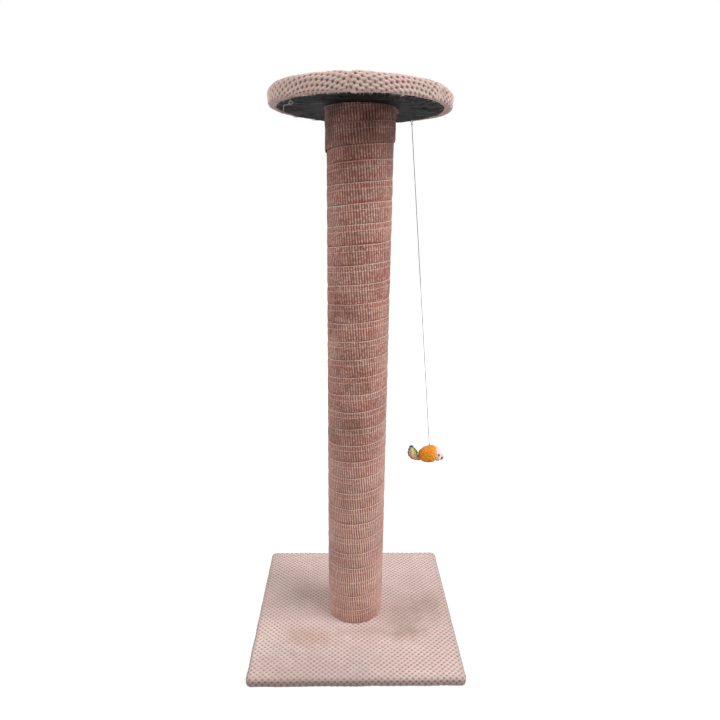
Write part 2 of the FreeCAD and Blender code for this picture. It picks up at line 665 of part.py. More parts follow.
def make_string():
    """The long string with its loop and its two knots, and the short spare one."""
    direction = hanging_direction()
    gap = number_of("Sizes.seat_gap")
    knot = number_of("Sizes.string_knot_radius")
    middle = anchor_point("Sizes.toy_anchor_angle")
    anchor_staple(middle, "toy_anchor_staple")
    loop, loop_end = string_loop(middle, direction)
    finish(loop, "string_loop")
    upper_knot = loop_end + direction * (gap + knot)
    finish(placed_sphere("Sizes.string_knot_radius", upper_knot), "string_knot")
    tie = middle + direction * number_of("Sizes.string_reach")
    length = (tie - upper_knot).Length - knot - gap
    finish(string_run(upper_knot, direction, length), "toy_string")
    finish(placed_sphere("Sizes.string_knot_radius", tie), "toy_knot")
    loop_low = loop_end - direction * number_of("Sizes.string_diameter / 2")
    for name, point in (("staple crown", middle), ("loop's lowest", loop_low), ("toy knot", tie)):
        print("string:", name, [round(value, 3) for value in point])
    print("string: length", round(length, 2))

    spare = anchor_point("Sizes.spare_anchor_angle")
    plumb = Vector(0, 0, -1)
    anchor_staple(spare, "spare_anchor_staple")
    spare_loop, spare_end = string_loop(spare, plumb)
    finish(spare_loop, "spare_loop")
    run = string_run(spare_end, plumb, number_of("Sizes.spare_string_length"))
    finish(run, "spare_string")
    return tie


def arc_lathe(stations, grow=0.0):
    """A form turned about the X axis; its section is arcs through (x, radius) in threes."""
    points = [Vector(x, 0, radius + grow) for x, radius in stations]
    points[0].x -= grow
    points[-1].x += grow
    edges = []
    for index in range(0, len(points) - 2, 2):
        edges.append(Part.Arc(points[index], points[index + 1], points[index + 2]).toShape())
    on_axis = [Vector(points[-1].x, 0, 0), Vector(points[0].x, 0, 0)]
    edges += Part.makePolygon([points[-1]] + on_axis + [points[0]]).Edges
    face = Part.Face(Part.Wire(edges))
    return face.revolve(Vector(0, 0, 0), Vector(1, 0, 0), 360)


def toy_piece(shape, label):
    """A sub-part of the toy."""
    piece = doc.addObject("Part::Feature", "toy_piece")
    piece.Shape = shape
    return finish(piece, label)


def make_toy(tie):
    """Plush body and head that swell and taper, beads for nose and eyes, and a cloth tail."""
    gap = number_of("Sizes.seat_gap")
    radius = number_of("Sizes.toy_body_radius")
    length = number_of("Sizes.toy_body_length")
    rear = number_of("Sizes.toy_body_rear_radius")
    neck = number_of("Sizes.toy_neck_radius")
    start = -number_of("Sizes.toy_body_behind_string")
    axis = tie - Vector(0, 0, number_of("Sizes.string_knot_radius") + gap + radius)

    belly = ((start, rear), (start + 0.28 * length, 0.8 * radius), (start + 0.67 * length, radius),
             (start + 0.88 * length, 0.92 * radius), (start + length, neck))
    body = arc_lathe(belly)
    body.translate(axis)
    toy_piece(body, "toy_body")
    body_and_gap = arc_lathe(belly, gap)
    body_and_gap.translate(axis)

    reach = number_of("Sizes.toy_head_length")
    snout = number_of("Sizes.toy_snout_radius")
    cheek = 0.96 * neck
    face_line = ((-0.4 * reach, 0.85 * cheek), (0.1 * reach, cheek), (0.45 * reach, 0.82 * cheek),
                 (0.75 * reach, 0.58 * cheek), (0.9 * reach, snout),
                 (reach, 0.7 * snout), (reach + 0.1 * snout, 0.3 * snout))
    droop = Rotation(Vector(0, 1, 0), number_of("Sizes.toy_head_droop"))
    at_neck = Placement(axis + Vector(start + length, 0, 0), droop)
    head = arc_lathe(face_line)
    head.Placement = at_neck
    toy_piece(head.cut(body_and_gap), "toy_head")

    nose = Part.makeSphere(number_of("Sizes.toy_nose_radius"))
    nose.Placement = at_neck * Placement(Vector(reach - 0.2 * snout, -0.6 * snout, 0), Rotation())
    toy_piece(nose, "toy_nose")
    eyes = []
    for side in (-1, 1):
        eye = Part.makeSphere(number_of("Sizes.toy_eye_radius"))
        spot = Vector(0.5 * reach, side * 0.76 * cheek, 0.18 * cheek)
        eye.Placement = at_neck * Placement(spot, Rotation())
        eyes.append(eye)
    toy_piece(Part.makeCompound(eyes), "toy_eyes")

    tail_length = number_of("Sizes.toy_tail_length")
    rise = number_of("Sizes.toy_tail_rise")
    thickness = number_of("Sizes.toy_tail_thickness")
    root = axis + Vector(start, -thickness / 2, 0)
    corners = [root + Vector(x, 0, z) for x, z in (
        (0, -rear), (-0.68 * tail_length, -1.1 * rear), (-tail_length, 0.3 * rise),
        (-0.95 * tail_length, 0.8 * rise), (-0.68 * tail_length, rise),
        (-0.5 * tail_length, 0.5 * rise), (0, rear))]
    edges = []
    for index in range(0, len(corners) - 2, 2):
        edges.append(Part.Arc(corners[index], corners[index + 1], corners[index + 2]).toShape())
    edges.append(Part.LineSegment(corners[-1], corners[0]).toShape())
    tail = Part.Face(Part.Wire(edges)).extrude(Vector(0, thickness, 0))
    toy_piece(tail, "toy_tail")


# ---- Build, check and write -------------------------------------------------------------------

make_base()
make_post()
make_fasteners()
make_platform()
make_tape()
make_staples()
make_toy(make_string())
doc.recompute()

for item in doc.Objects:
    if "Invalid" in item.State or "Error" in item.State:
        raise RuntimeError(f"{item.Name} ({item.Label}) failed: {item.State}")
for piece in parts:
    if piece.Shape.isNull() or not piece.Shape.isValid() or not piece.Shape.Solids:
        raise RuntimeError(f"{piece.Label} has no valid solid")

os.makedirs("parts", exist_ok=True)
for piece in parts:
    piece.Shape.exportStep(f"parts/{piece.Label}.step")
    box = piece.Shape.BoundBox
    print(f"{piece.Label}: {len(piece.Shape.Solids)} solids, {piece.Shape.Volume:.1f} mm3,"
          f" z {box.ZMin:.2f} to {box.ZMax:.2f}")
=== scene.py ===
"""Cat scratching post: plush base, post wound with woven tape, plush platform, string toy.

Every piece is worked out here in the frame's own metres, +Z up. Lengths are written in
millimetres and turned into metres where a mesh is made.
"""

import math

import bpy
import numpy as np
from mathutils import Matrix, Vector


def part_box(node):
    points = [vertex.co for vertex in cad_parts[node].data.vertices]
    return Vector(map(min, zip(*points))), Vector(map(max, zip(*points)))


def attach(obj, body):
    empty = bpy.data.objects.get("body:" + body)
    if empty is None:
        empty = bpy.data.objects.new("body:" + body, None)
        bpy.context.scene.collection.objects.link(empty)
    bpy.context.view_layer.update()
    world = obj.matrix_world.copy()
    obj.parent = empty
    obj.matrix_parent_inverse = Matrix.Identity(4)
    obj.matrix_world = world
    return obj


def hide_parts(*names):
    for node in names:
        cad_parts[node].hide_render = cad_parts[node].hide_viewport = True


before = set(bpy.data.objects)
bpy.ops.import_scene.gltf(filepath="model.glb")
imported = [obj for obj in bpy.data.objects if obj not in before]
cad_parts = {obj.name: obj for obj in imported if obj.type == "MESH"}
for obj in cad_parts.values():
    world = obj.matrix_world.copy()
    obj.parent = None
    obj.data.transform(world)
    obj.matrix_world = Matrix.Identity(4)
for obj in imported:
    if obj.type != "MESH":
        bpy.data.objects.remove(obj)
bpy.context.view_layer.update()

MM = 0.001
TURN = 2 * math.pi


# ---- Places read from the frame, in millimetres -------------------------------------------------

def corners_of(node):
    """The lowest and highest corners of a CAD node, in millimetres."""
    low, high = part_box(node)
    return np.array(low) / MM, np.array(high) / MM


BASE_LOW, BASE_HIGH = corners_of("base_cover")
COVER_LOW, COVER_HIGH = corners_of("platform_cover")
LINER_LOW, LINER_HIGH = corners_of("platform_liner")
FOAM_LOW, FOAM_HIGH = corners_of("platform_foam")
FELT_LOW, FELT_HIGH = corners_of("base_liner")
TAPE_LOW, TAPE_HIGH = corners_of("post_winding")
WRAP_LOW, WRAP_HIGH = corners_of("top_wrap")
TUBE_HIGH = corners_of("post_tube")[1]
TOY_KNOT = sum(corners_of("toy_knot")) / 2
UPPER_KNOT = sum(corners_of("string_knot")) / 2
TOY_LOOP = sum(corners_of("string_loop")) / 2
SPARE_LOOP = sum(corners_of("spare_loop")) / 2
SPARE_LOW, SPARE_HIGH = corners_of("spare_string")
BODY_LOW, BODY_HIGH = corners_of("toy_body")
TAPE_STAPLES = corners_of("tape_staples")


# ---- Camera -------------------------------------------------------------------------------------

PICTURE = 720                 # pixels across and down
FOCAL_PIXELS = 563.9
MIDDLE_ROW = 385.3            # pixel row of the camera's own axis
CAMERA_PLACE = (-0.0218, -1.0148, 0.8175)
CAMERA_TURN = 0.02608         # towards +X
CAMERA_DIP = 0.29507          # below level
CAMERA_ROLL = -0.01238


def make_camera():
    """The camera of the photograph: its axes are right, up and back, from turn, dip and roll."""
    ahead = Vector((math.sin(CAMERA_TURN) * math.cos(CAMERA_DIP),
                    math.cos(CAMERA_TURN) * math.cos(CAMERA_DIP), -math.sin(CAMERA_DIP)))
    level = Vector((math.cos(CAMERA_TURN), -math.sin(CAMERA_TURN), 0))
    down = ahead.cross(level)
    right = level * math.cos(CAMERA_ROLL) + down * math.sin(CAMERA_ROLL)
    up = level * math.sin(CAMERA_ROLL) - down * math.cos(CAMERA_ROLL)
    axes = Matrix((right, up, -ahead)).transposed().to_4x4()
    data = bpy.data.cameras.new("camera")
    data.sensor_width = 36
    data.lens = data.sensor_width * FOCAL_PIXELS / PICTURE
    data.shift_y = (MIDDLE_ROW - PICTURE / 2) / PICTURE
    data.clip_start = 0.02
    camera = bpy.data.objects.new("camera", data)
    camera.matrix_world = Matrix.Translation(CAMERA_PLACE) @ axes
    bpy.context.scene.collection.objects.link(camera)
    bpy.context.scene.camera = camera


# ---- Shader maths -------------------------------------------------------------------------------

def colour(red, green, blue):
    """A linear colour from screen values of 0 to 255."""
    parts = [value / 255 for value in (red, green, blue)]
    return (*[((p + 0.055) / 1.055) ** 2.4 if p > 0.04 else p / 12.92 for p in parts], 1.0)


class Field:
    """A number that varies over a surface. Arithmetic on it adds Math nodes."""

    def __init__(self, finish, socket):
        self.finish = finish
        self.socket = socket

    def __add__(self, other):
        return self.finish.math("ADD", self, other)

    def __sub__(self, other):
        return self.finish.math("SUBTRACT", self, other)

    def __rsub__(self, other):
        return self.finish.math("SUBTRACT", other, self)

    def __mul__(self, other):
        return self.finish.math("MULTIPLY", self, other)

    def __truediv__(self, other):
        return self.finish.math("DIVIDE", self, other)

    __radd__ = __add__
    __rmul__ = __mul__


def add_node(tree, kind, sockets=None, **settings):
    """Adds a node: its settings first, then the values or links of its sockets."""
    item = tree.nodes.new(kind)
    for key, value in settings.items():
        setattr(item, key, value)
    for key, value in (sockets or {}).items():
        source = value.socket if isinstance(value, Field) else value
        if isinstance(source, bpy.types.NodeSocket):
            tree.links.new(source, item.inputs[key])
        else:
            item.inputs[key].default_value = source
    return item


class Finish:
    """One material: a Principled shader and the nodes that feed it."""

    def __init__(self, name, **settings):
        self.material = bpy.data.materials.new(name)
        self.material.use_nodes = True
        self.tree = self.material.node_tree
        self.shader = self.tree.nodes["Principled BSDF"]
        for key, value in settings.items():
            self.shader.inputs[key.replace("_", " ")].default_value = value

    def node(self, kind, sockets=None, **settings):
        """One node of this material."""
        return add_node(self.tree, kind, sockets, **settings)

    def math(self, operation, *values):
        """One Math node on fields and numbers."""
        item = self.node("ShaderNodeMath", dict(enumerate(values)), operation=operation)
        return Field(self, item.outputs[0])

    def place(self):
        """Object coordinates, in metres."""
        return self.node("ShaderNodeTexCoord").outputs["Object"]

    def split(self, vector):
        """The three numbers of a vector."""
        item = self.node("ShaderNodeSeparateXYZ", {0: vector})
        return [Field(self, output) for output in item.outputs]

    def join(self, x, y, z=0.0):
        """A vector of three numbers."""
        return self.node("ShaderNodeCombineXYZ", {0: x, 1: y, 2: z}).outputs[0]

    def pattern(self):
        """The two numbers of the piece's own UV map."""
        return self.split(self.node("ShaderNodeUVMap").outputs[0])[:2]

    def painted(self, name):
        """A number kept on the mesh's points."""
        return Field(self, self.node("ShaderNodeAttribute", attribute_name=name).outputs["Fac"])

    def noise(self, vector, scale, detail=2.0, roughness=0.5):
        """Soft noise, 0 to 1."""
        item = self.node("ShaderNodeTexNoise", {"Vector": vector, "Scale": scale,
                                                "Detail": detail, "Roughness": roughness})
        return Field(self, item.outputs[0])

    def step(self, value, start, end):
        """Rises smoothly from 0 at start to 1 at end."""
        item = self.node("ShaderNodeMapRange", {0: value, 1: start, 2: end, 3: 0.0, 4: 1.0},
                         interpolation_type="SMOOTHSTEP")
        return Field(self, item.outputs[0])

    def band(self, value, rise, full, fade, gone):
        """1 from full to fade, and down smoothly to 0 at rise and at gone."""
        return self.step(value, rise, full) * (1 - self.step(value, fade, gone))

    def stretched(self, vector, x, y, z):
        """A vector whose parts are scaled one by one, as grain is."""
        item = self.node("ShaderNodeVectorMath", {0: vector, 1: (x, y, z)}, operation="MULTIPLY")
        return item.outputs[0]

    def mix(self, share, first, second):
        """A colour between two, or the second where share is 1."""
        item = self.node("ShaderNodeMix", {0: share, 6: first, 7: second}, data_type="RGBA")
        return item.outputs[2]

    def tinted_patch(self, paint, where, centre, reach, tint, weight, start=0.1, ragged=(45.0, 3.0)):
        """The paint with a soft patch of a tint, used for stains and for a painted shadow: an
        ellipse or ellipsoid whose edge wanders by noise.

        It is full up to the start, a share of its reach, and gone at the reach. The reach has a
        number for each axis, and ragged is the noise's scale and detail.
        """
        square = 0.0
        for here, middle, size in zip(self.split(where), centre, reach):
            apart = (here - middle) / size
            square = apart * apart + square
        away = self.math("SQRT", square) + (self.noise(where, *ragged) - 0.5)
        return self.mix((1 - self.step(away, start, 1.0)) * weight, paint, tint)

    def finished(self, paint, height=None, reach=0.001, strength=1.0, roughness=None):
        """Links the colour, and a height in units of reach metres, to the shader."""
        self.tree.links.new(paint, self.shader.inputs["Base Color"])
        if height is not None:
            bump = self.node("ShaderNodeBump", {"Height": height, "Distance": reach,
                                                "Strength": strength})
            self.tree.links.new(bump.outputs[0], self.shader.inputs["Normal"])
        if roughness is not None:
            self.tree.links.new(roughness.socket, self.shader.inputs["Roughness"])
        return self.material


# ---- Mesh making --------------------------------------------------------------------------------

def ripple(points, size, seed, waves=18):
    """Smooth uneven field of about -1 to 1: sine waves in random directions, about size long."""
    draw = np.random.default_rng(seed)
    ways = draw.normal(size=(waves, points.shape[-1]))
    ways /= np.linalg.norm(ways, axis=1)[:, None]
    lengths = size * draw.uniform(0.7, 1.7, waves)
    starts = draw.uniform(0, TURN, waves)
    heights = np.zeros(points.shape[:-1])
    for way, length, start in zip(ways, lengths, starts):
        heights += np.sin(points @ way * (TURN / length) + start)
    return heights * math.sqrt(1 / waves)


def smooth(value, start, end):
    """Rises smoothly from 0 at start to 1 at end."""
    share = np.clip((value - start) / (end - start), 0, 1)
    return share * share * (3 - 2 * share)


def hump(value, middle, width):
    """A bell of height 1 at the middle."""
    return np.exp(-((value - middle) / width) ** 2)


def new_mesh(name, points, faces, corner_uv=None, painted=None):
    """A smooth mesh from points in millimetres and faces with as many corners each.

    corner_uv holds a pair per face corner; painted maps a name to a number per point.
    """
    sides = faces.shape[1]
    used, flat = np.unique(faces.ravel(), return_inverse=True)
    mesh = bpy.data.meshes.new(name)
    mesh.vertices.add(len(used))
    mesh.vertices.foreach_set("co", (points[used] * MM).astype(np.float32).ravel())
    mesh.loops.add(flat.size)
    mesh.loops.foreach_set("vertex_index", flat.astype(np.int32).ravel())
    mesh.polygons.add(len(faces))
    mesh.polygons.foreach_set("loop_start", np.arange(0, flat.size, sides, dtype=np.int32))
    mesh.polygons.foreach_set("use_smooth", np.ones(len(faces), bool))
    mesh.update(calc_edges=True)
    if corner_uv is not None:
        layer = mesh.uv_layers.new(name="pattern")
        layer.data.foreach_set("uv", corner_uv.astype(np.float32).ravel())
    for key, values in (painted or {}).items():
        layer = mesh.attributes.new(key, "FLOAT", "POINT")
        layer.data.foreach_set("value", values.ravel()[used].astype(np.float32))
    mesh.validate()
    return mesh


def grid_faces(rows, columns, around=False):
    """Four-sided faces between neighbours of a rows x columns grid; around joins its sides."""
    index = np.arange(rows * columns).reshape(rows, columns)
    left = index if around else index[:, :-1]
    right = np.roll(index, -1, axis=1) if around else index[:, 1:]
    return np.stack([left[:-1], right[:-1], right[1:], left[1:]], axis=-1).reshape(-1, 4)


def grid_uv(pairs):
    """Face-corner UV pairs of a grid; a grid that is closed round has one column more here."""
    corners = [pairs[:-1, :-1], pairs[:-1, 1:], pairs[1:, 1:], pairs[1:, :-1]]
    return np.stack(corners, axis=2).reshape(-1, 2)


def piece_of(name, mesh, body, material, replaces=()):
    """A finished piece of the object: it rides on a body and may stand for CAD nodes."""
    item = bpy.data.objects.new(name, mesh)
    bpy.context.scene.collection.objects.link(item)
    mesh.materials.append(material)
    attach(item, body)
    if replaces:
        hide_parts(*replaces)
    return item


def rounded_path(corners, radii, step=0.4):
    """A path through corners, each inner one rounded by its radius.

    Gives the distance along the path and, at each distance, the point and its direction.
    """
    corners = [np.array(corner, float) for corner in corners]
    points = [corners[0]]
    for before, corner, after, radius in zip(corners, corners[1:], corners[2:], radii):
        arriving = (corner - before) / np.linalg.norm(corner - before)
        leaving = (after - corner) / np.linalg.norm(after - corner)
        turn = math.acos(np.clip(arriving @ leaving, -1, 1))
        setback = radius * math.tan(turn / 2)
        inward = leaving - arriving
        inward /= np.linalg.norm(inward)
        centre = corner + inward * radius / math.cos(turn / 2)
        start, end = corner - arriving * setback, corner + leaving * setback
        share = np.linspace(0, 1, max(4, int(radius * turn / step)))[:, None]
        first, last = start - centre, end - centre
        fan = (np.sin((1 - share) * turn) * first + np.sin(share * turn) * last) / math.sin(turn)
        points.extend(centre + fan)
    points.append(corners[-1])
    points = np.array(points)
    lengths = np.linalg.norm(np.diff(points, axis=0), axis=1)
    points = points[np.r_[True, lengths > 1e-6]]
    along = np.r_[0, np.cumsum(np.linalg.norm(np.diff(points, axis=0), axis=1))]
    return along, points


def on_path(path, along):
    """Points and outward normals of a rounded path at distances along it."""
    distances, points = path
    place = np.stack([np.interp(along, distances, points[:, i]) for i in (0, 1)], -1)
    ahead = np.stack([np.interp(along + 0.3, distances, points[:, i]) for i in (0, 1)], -1)
    behind = np.stack([np.interp(along - 0.3, distances, points[:, i]) for i in (0, 1)], -1)
    course = ahead - behind
    course /= np.maximum(np.linalg.norm(course, axis=-1, keepdims=True), 1e-9)
    return place, np.stack([-course[..., 1], course[..., 0]], -1)


def cord_mesh(name, path, radius, sides=8, closed=False, plies=2, lay=3.2, groove=0.16):
    """A twisted cord round a path: its section has one lobe per ply, turned once per lay.

    Each ring stands square to the path, carried along without spinning. An open cord ends in
    rings of no radius; a closed one comes back to its first ring.
    """
    if closed:
        path = np.concatenate([path, path[:1]])
        course = np.gradient(path, axis=0)
        course[0] = course[-1] = path[1] - path[-2]
    else:
        course = np.gradient(path, axis=0)
        path, course = (np.concatenate([row[:1], row, row[-1:]]) for row in (path, course))
    course /= np.linalg.norm(course, axis=1)[:, None]
    side = np.cross(course[0], (0.3, 0.5, 0.81))
    carried = []
    for direction in course:
        side = side - direction * (side @ direction)
        side = side / np.linalg.norm(side)
        carried.append(side)
    side = np.array(carried)
    other = np.cross(course, side)
    steps = np.linalg.norm(np.diff(path, axis=0, prepend=path[:1]), axis=1)
    spin = np.cumsum(steps) * TURN / lay
    reach = np.full(len(path), radius)
    slip = 0.0
    if closed:
        slip = math.atan2(side[-1] @ other[0], side[-1] @ side[0])
        spin *= max(1, round(spin[-1] / TURN)) * TURN / spin[-1]
    else:
        reach[[0, -1]] = 0
    share = np.linspace(0, 1, len(path))[:, None]
    angle = np.arange(sides) * TURN / sides - slip * share
    lobes = np.abs(np.cos((angle - spin[:, None]) * plies / 2))
    reach = reach[:, None] * (1 - groove + groove * lobes)
    ring = (side[:, None] * (reach * np.cos(angle))[..., None]
            + other[:, None] * (reach * np.sin(angle))[..., None])
    points = (path[:, None] + ring).reshape(-1, 3)
    return new_mesh(name, points, grid_faces(len(path), sides, around=True))


def blades(roots, ways, length, width, curl, seed):
    """Short tapered fibres: each is a bent strip of two four-sided faces and leans its own way.

    roots and ways are its places and directions; returns points, faces and a random tint.
    """
    draw = np.random.default_rng(seed)
    count = len(roots)
    side = np.cross(ways, draw.normal(size=(count, 3)))
    side /= np.maximum(np.linalg.norm(side, axis=1), 1e-9)[:, None]
    droop = np.cross(side, ways) * draw.normal(0, curl, (count, 1))
    long = np.broadcast_to(length, (count,))[:, None] * draw.uniform(0.6, 1.25, (count, 1))
    rows = []
    for share, wide in ((0, 1.0), (0.55, 0.75), (1, 0.12)):
        middle = roots + (ways + droop * share) * long * share
        half = side * width * wide / 2
        rows += [middle - half, middle + half]
    points = np.stack(rows, axis=1)
    strip = np.array([[0, 1, 3, 2], [2, 3, 5, 4]])
    faces = (np.arange(count)[:, None, None] * 6 + strip).reshape(-1, 4)
    tint = np.repeat(draw.uniform(0, 1, count), 6)
    return points.reshape(-1, 3), faces, tint


def joined(parts):
    """Several (points, faces, values) as one."""
    offset = np.cumsum([0] + [len(points) for points, _, _ in parts[:-1]])
    points = np.concatenate([points for points, _, _ in parts])
    faces = np.concatenate([faces + shift for (_, faces, _), shift in zip(parts, offset)])
    values = np.concatenate([values for _, _, values in parts])
    return points, faces, values


# ---- Dimpled plush fabric -----------------------------------------------------------------------

DIMPLE_ACROSS = 11.3          # from one dimple to the next in a row
DIMPLE_ALONG = 10.4           # every second row; the row between is staggered by half
DIMPLE_RADIUS = 2.3
DIMPLE_DEPTH = 1.6


def dimple_relief(across, along, pitch_across, pitch_along):
    """Depth of the quilted face, 0 to 1, and of the shallow creases from dimple to dimple.

    Dimples stand on a staggered lattice, each a bell; the creases are the lattice's two
    families of slanting lines.
    """
    depth = 0
    for shift in (0, 0.5):
        u, v = across / pitch_across + shift, along / pitch_along + shift
        du, dv = (u - np.round(u)) * pitch_across, (v - np.round(v)) * pitch_along
        depth = depth + np.exp(-(du ** 2 + dv ** 2) / DIMPLE_RADIUS ** 2)
    u, v = across / pitch_across, along / pitch_along
    lines = [(0.5 + 0.5 * np.cos(TURN * (u + way * v))) ** 5 for way in (-1, 1)]
    return np.minimum(depth, 1), np.maximum(*lines)


def edge_shade_and_grime(finish, where, hollows):
    """Painted shade, with some grime, on the base's sides and on the rounded outer rim of its top,
    0 to 1, most in the dimples.
    """
    x, y, z = finish.split(where)
    side = 1 - finish.step(z, 0.010, 0.0185)
    reach = finish.math("MAXIMUM", finish.math("ABSOLUTE", x), finish.math("ABSOLUTE", y))
    rim = finish.step(reach, (BASE_HALF - 12) * MM, BASE_HALF * MM)
    return (side * 0.5 + rim * 0.3) * (0.75 + 0.35 * hollows)


def plush_finish(name, pitch, core, pile, rosy, drab, hollow, stains_and_shadow=(), shade_and_grime=None):
    """Short-pile plush: pale puffs, dimples dark with painted shade on the fabric's own lattice,
    soft soiling and painted shade.

    The UV map counts dimples, and pitch is their spacing. A dimple is dark up to the core's
    first distance and gone at its second.
    """
    finish = Finish(name, Roughness=0.95, Sheen_Weight=0.15, Sheen_Roughness=0.6,
                    Specular_IOR_Level=0.12)
    where = finish.place()
    across, along = finish.pattern()
    wander = finish.noise(where, 210.0) - 0.5
    wander_too = finish.noise(where, 170.0) - 0.5
    u, v = across + wander * 0.12, along + wander_too * 0.14
    nearest = None
    for shift in (0.0, 0.5):
        du = (u + shift - finish.math("ROUND", u + shift)) * pitch[0]
        dv = (v + shift - finish.math("ROUND", v + shift)) * pitch[1]
        away = finish.math("SQRT", du * du + dv * dv)
        nearest = away if nearest is None else finish.math("MINIMUM", nearest, away)
    hollows = 1 - finish.step(nearest, core[0], core[1])
    lines = finish.math("MAXIMUM", finish.math("COSINE", (u + v) * TURN),
                        finish.math("COSINE", (u - v) * TURN))
    creases = finish.step(lines, 0.5, 1.0) * 0.30
    patches = finish.step(finish.noise(where, 16.0, 3.0), 0.38, 0.62)
    blush = finish.step(finish.noise(where, 34.0, 2.0), 0.45, 0.7)
    fibres = finish.noise(where, 1500.0, 3.0, 0.7)
    puffs = finish.mix(patches * 0.6, pile, drab)
    puffs = finish.mix(blush * 0.7, puffs, rosy)
    fluff = finish.step(fibres, 0.3, 0.7)
    puffs = finish.mix(fluff * 0.14, puffs, (1.0, 0.97, 0.95, 1.0))
    grain = finish.noise(where, 700.0, 2.0, 0.6)
    for centre, reach, tint, weight in stains_and_shadow:
        puffs = finish.tinted_patch(puffs, where, centre, reach, colour(*tint), weight)
    dark = finish.mix(grain * 0.4, hollow, drab)
    uneven = finish.step(finish.noise(where, 48.0, 2.0), 0.35, 0.65)
    # Painted shade: the dimples and the creases between them are darkened in the colour, over the
    # relief of the geometry.
    shaded = finish.math("MAXIMUM", hollows * (0.62 + 0.26 * grain + 0.2 * uneven), creases)
    paint = finish.mix(shaded, puffs, dark)
    if shade_and_grime is not None:
        # painted shade, with some grime, on the base's sides and rounded rim
        paint = finish.mix(edge_shade_and_grime(finish, where, hollows), paint, shade_and_grime)
    height = fibres * 0.5 + grain * 0.9
    return finish.finished(paint, height, reach=0.0006, strength=0.8)


# ---- Base ---------------------------------------------------------------------------------------

BASE_HALF = BASE_HIGH[0]
BASE_CORNER = 10.5            # radius of a corner in plan
BASE_EDGE = 7.0               # radius of the upper edge
BASE_HEM = 30.0               # cloth turned under
BASE_STAINS_AND_SHADOW = (               # stains and a painted shadow: centre, reach along each axis, tint, weight
    ((0.104, -0.040), (0.066, 0.080), (150, 126, 112), 0.42),
    ((0.155, 0.005), (0.046, 0.075), (152, 124, 106), 0.44),
    ((0.100, -0.084), (0.050, 0.030), (160, 128, 104), 0.42),
    ((0.020, -0.080), (0.080, 0.030), (172, 144, 134), 0.40),
    ((-0.092, -0.092), (0.080, 0.042), (184, 148, 126), 0.60),
    # painted shadow of the post, behind and left of it, with some soil
    ((-0.100, 0.060), (0.085, 0.090), (170, 144, 136), 0.16),
    ((-0.080, -0.190), (0.210, 0.120), (174, 152, 146), 0.56),
)


def make_base_cover():
    """Plush drawn over the square board.

    The cloth is a grid in its own flat plane. Within the inner square it lies flat; beyond, the
    distance from that square runs along a rounded path over the edge, down the side and under,
    so the dimples keep their lattice round every edge. The turned-under hem is mitred.
    """
    inner = BASE_HALF - BASE_CORNER
    top, under = BASE_HIGH[2], BASE_LOW[2]
    path = rounded_path(((0, top), (BASE_CORNER, top), (BASE_CORNER, under),
                         (BASE_CORNER - BASE_HEM, under), (BASE_CORNER - BASE_HEM, under + 2.3)),
                        (BASE_EDGE, 2.2, 0.6))
    total = path[0][-1]
    edge_end = (BASE_CORNER - BASE_EDGE) + BASE_EDGE * TURN / 4 + (top - under) - BASE_EDGE

    def lines(spacing):
        count = int((inner + edge_end) / spacing)
        fine = spacing * np.arange(-count, count + 1)
        coarse = fine[-1] + np.array([6.5, 13, 19.5, 26, inner + total - fine[-1] - 1.6,
                                      inner + total - fine[-1]])
        return np.r_[-coarse[::-1], fine, coarse]

    across, along = np.meshgrid(lines(DIMPLE_ACROSS / 6), lines(DIMPLE_ALONG / 8))
    held_x, held_y = np.clip(across, -inner, inner), np.clip(along, -inner, inner)
    off_x, off_y = across - held_x, along - held_y
    away = np.hypot(off_x, off_y)
    place, normal = on_path(path, away)
    way_x = off_x / np.maximum(away, 1e-9)
    way_y = off_y / np.maximum(away, 1e-9)

    depth, crease = dimple_relief(across, along, DIMPLE_ACROSS, DIMPLE_ALONG)
    flat = np.stack([across, along], -1)
    fluff = 0.16 * ripple(flat, 2.6, 11) + 0.3 * ripple(flat, 45, 12)
    drawn = 1 - 0.75 * smooth(away, 0, 9)      # the cloth is pulled flat over the edges
    puff = (0.3 - DIMPLE_DEPTH * depth - 0.45 * crease) * drawn + fluff
    puff = puff * (1 - 0.75 * smooth(away, edge_end, edge_end + 4))
    out = place[..., 0] + normal[..., 0] * puff
    height = place[..., 1] + normal[..., 1] * puff
    x = held_x + way_x * out
    y = held_y + way_y * out
    clipped_x, clipped_y = np.clip(x, -np.abs(y), np.abs(y)), np.clip(y, -np.abs(x), np.abs(x))
    under_side = out < 0
    mitre_y = under_side & (off_y == 0) & (off_x != 0) & (np.abs(y) > np.abs(x))
    mitre_x = under_side & (off_x == 0) & (off_y != 0) & (np.abs(x) > np.abs(y))
    x = np.where(mitre_x, clipped_x, x)
    y = np.where(mitre_y, clipped_y, y)
    gone = (away > total + 0.01) | (under_side & (off_x != 0) & (off_y != 0))

    faces = grid_faces(*across.shape)
    moved = (mitre_x | mitre_y).ravel()[faces].all(axis=1)
    keep = ~(gone.ravel()[faces].any(axis=1) | moved)
    uv = grid_uv(np.stack([across / DIMPLE_ACROSS, along / DIMPLE_ALONG], -1))
    uv = uv.reshape(-1, 4, 2)[keep].reshape(-1, 2)
    points = np.stack([x, y, height], -1).reshape(-1, 3)
    material = plush_finish(
        "base_plush", (DIMPLE_ACROSS, DIMPLE_ALONG), core=(0.7, 3.3), pile=colour(217, 192, 185),
        rosy=colour(219, 186, 180), drab=colour(201, 177, 169), hollow=colour(134, 104, 97),
        # the colour of the painted shade and grime on the base's sides and rim
        stains_and_shadow=BASE_STAINS_AND_SHADOW, shade_and_grime=colour(96, 80, 72))
    mesh = new_mesh("base_plush", points, faces[keep], corner_uv=uv)
    cover = piece_of("base_plush", mesh, "stand", material, ["base_cover"])
    flat_side = (2 * (inner + total)) * MM


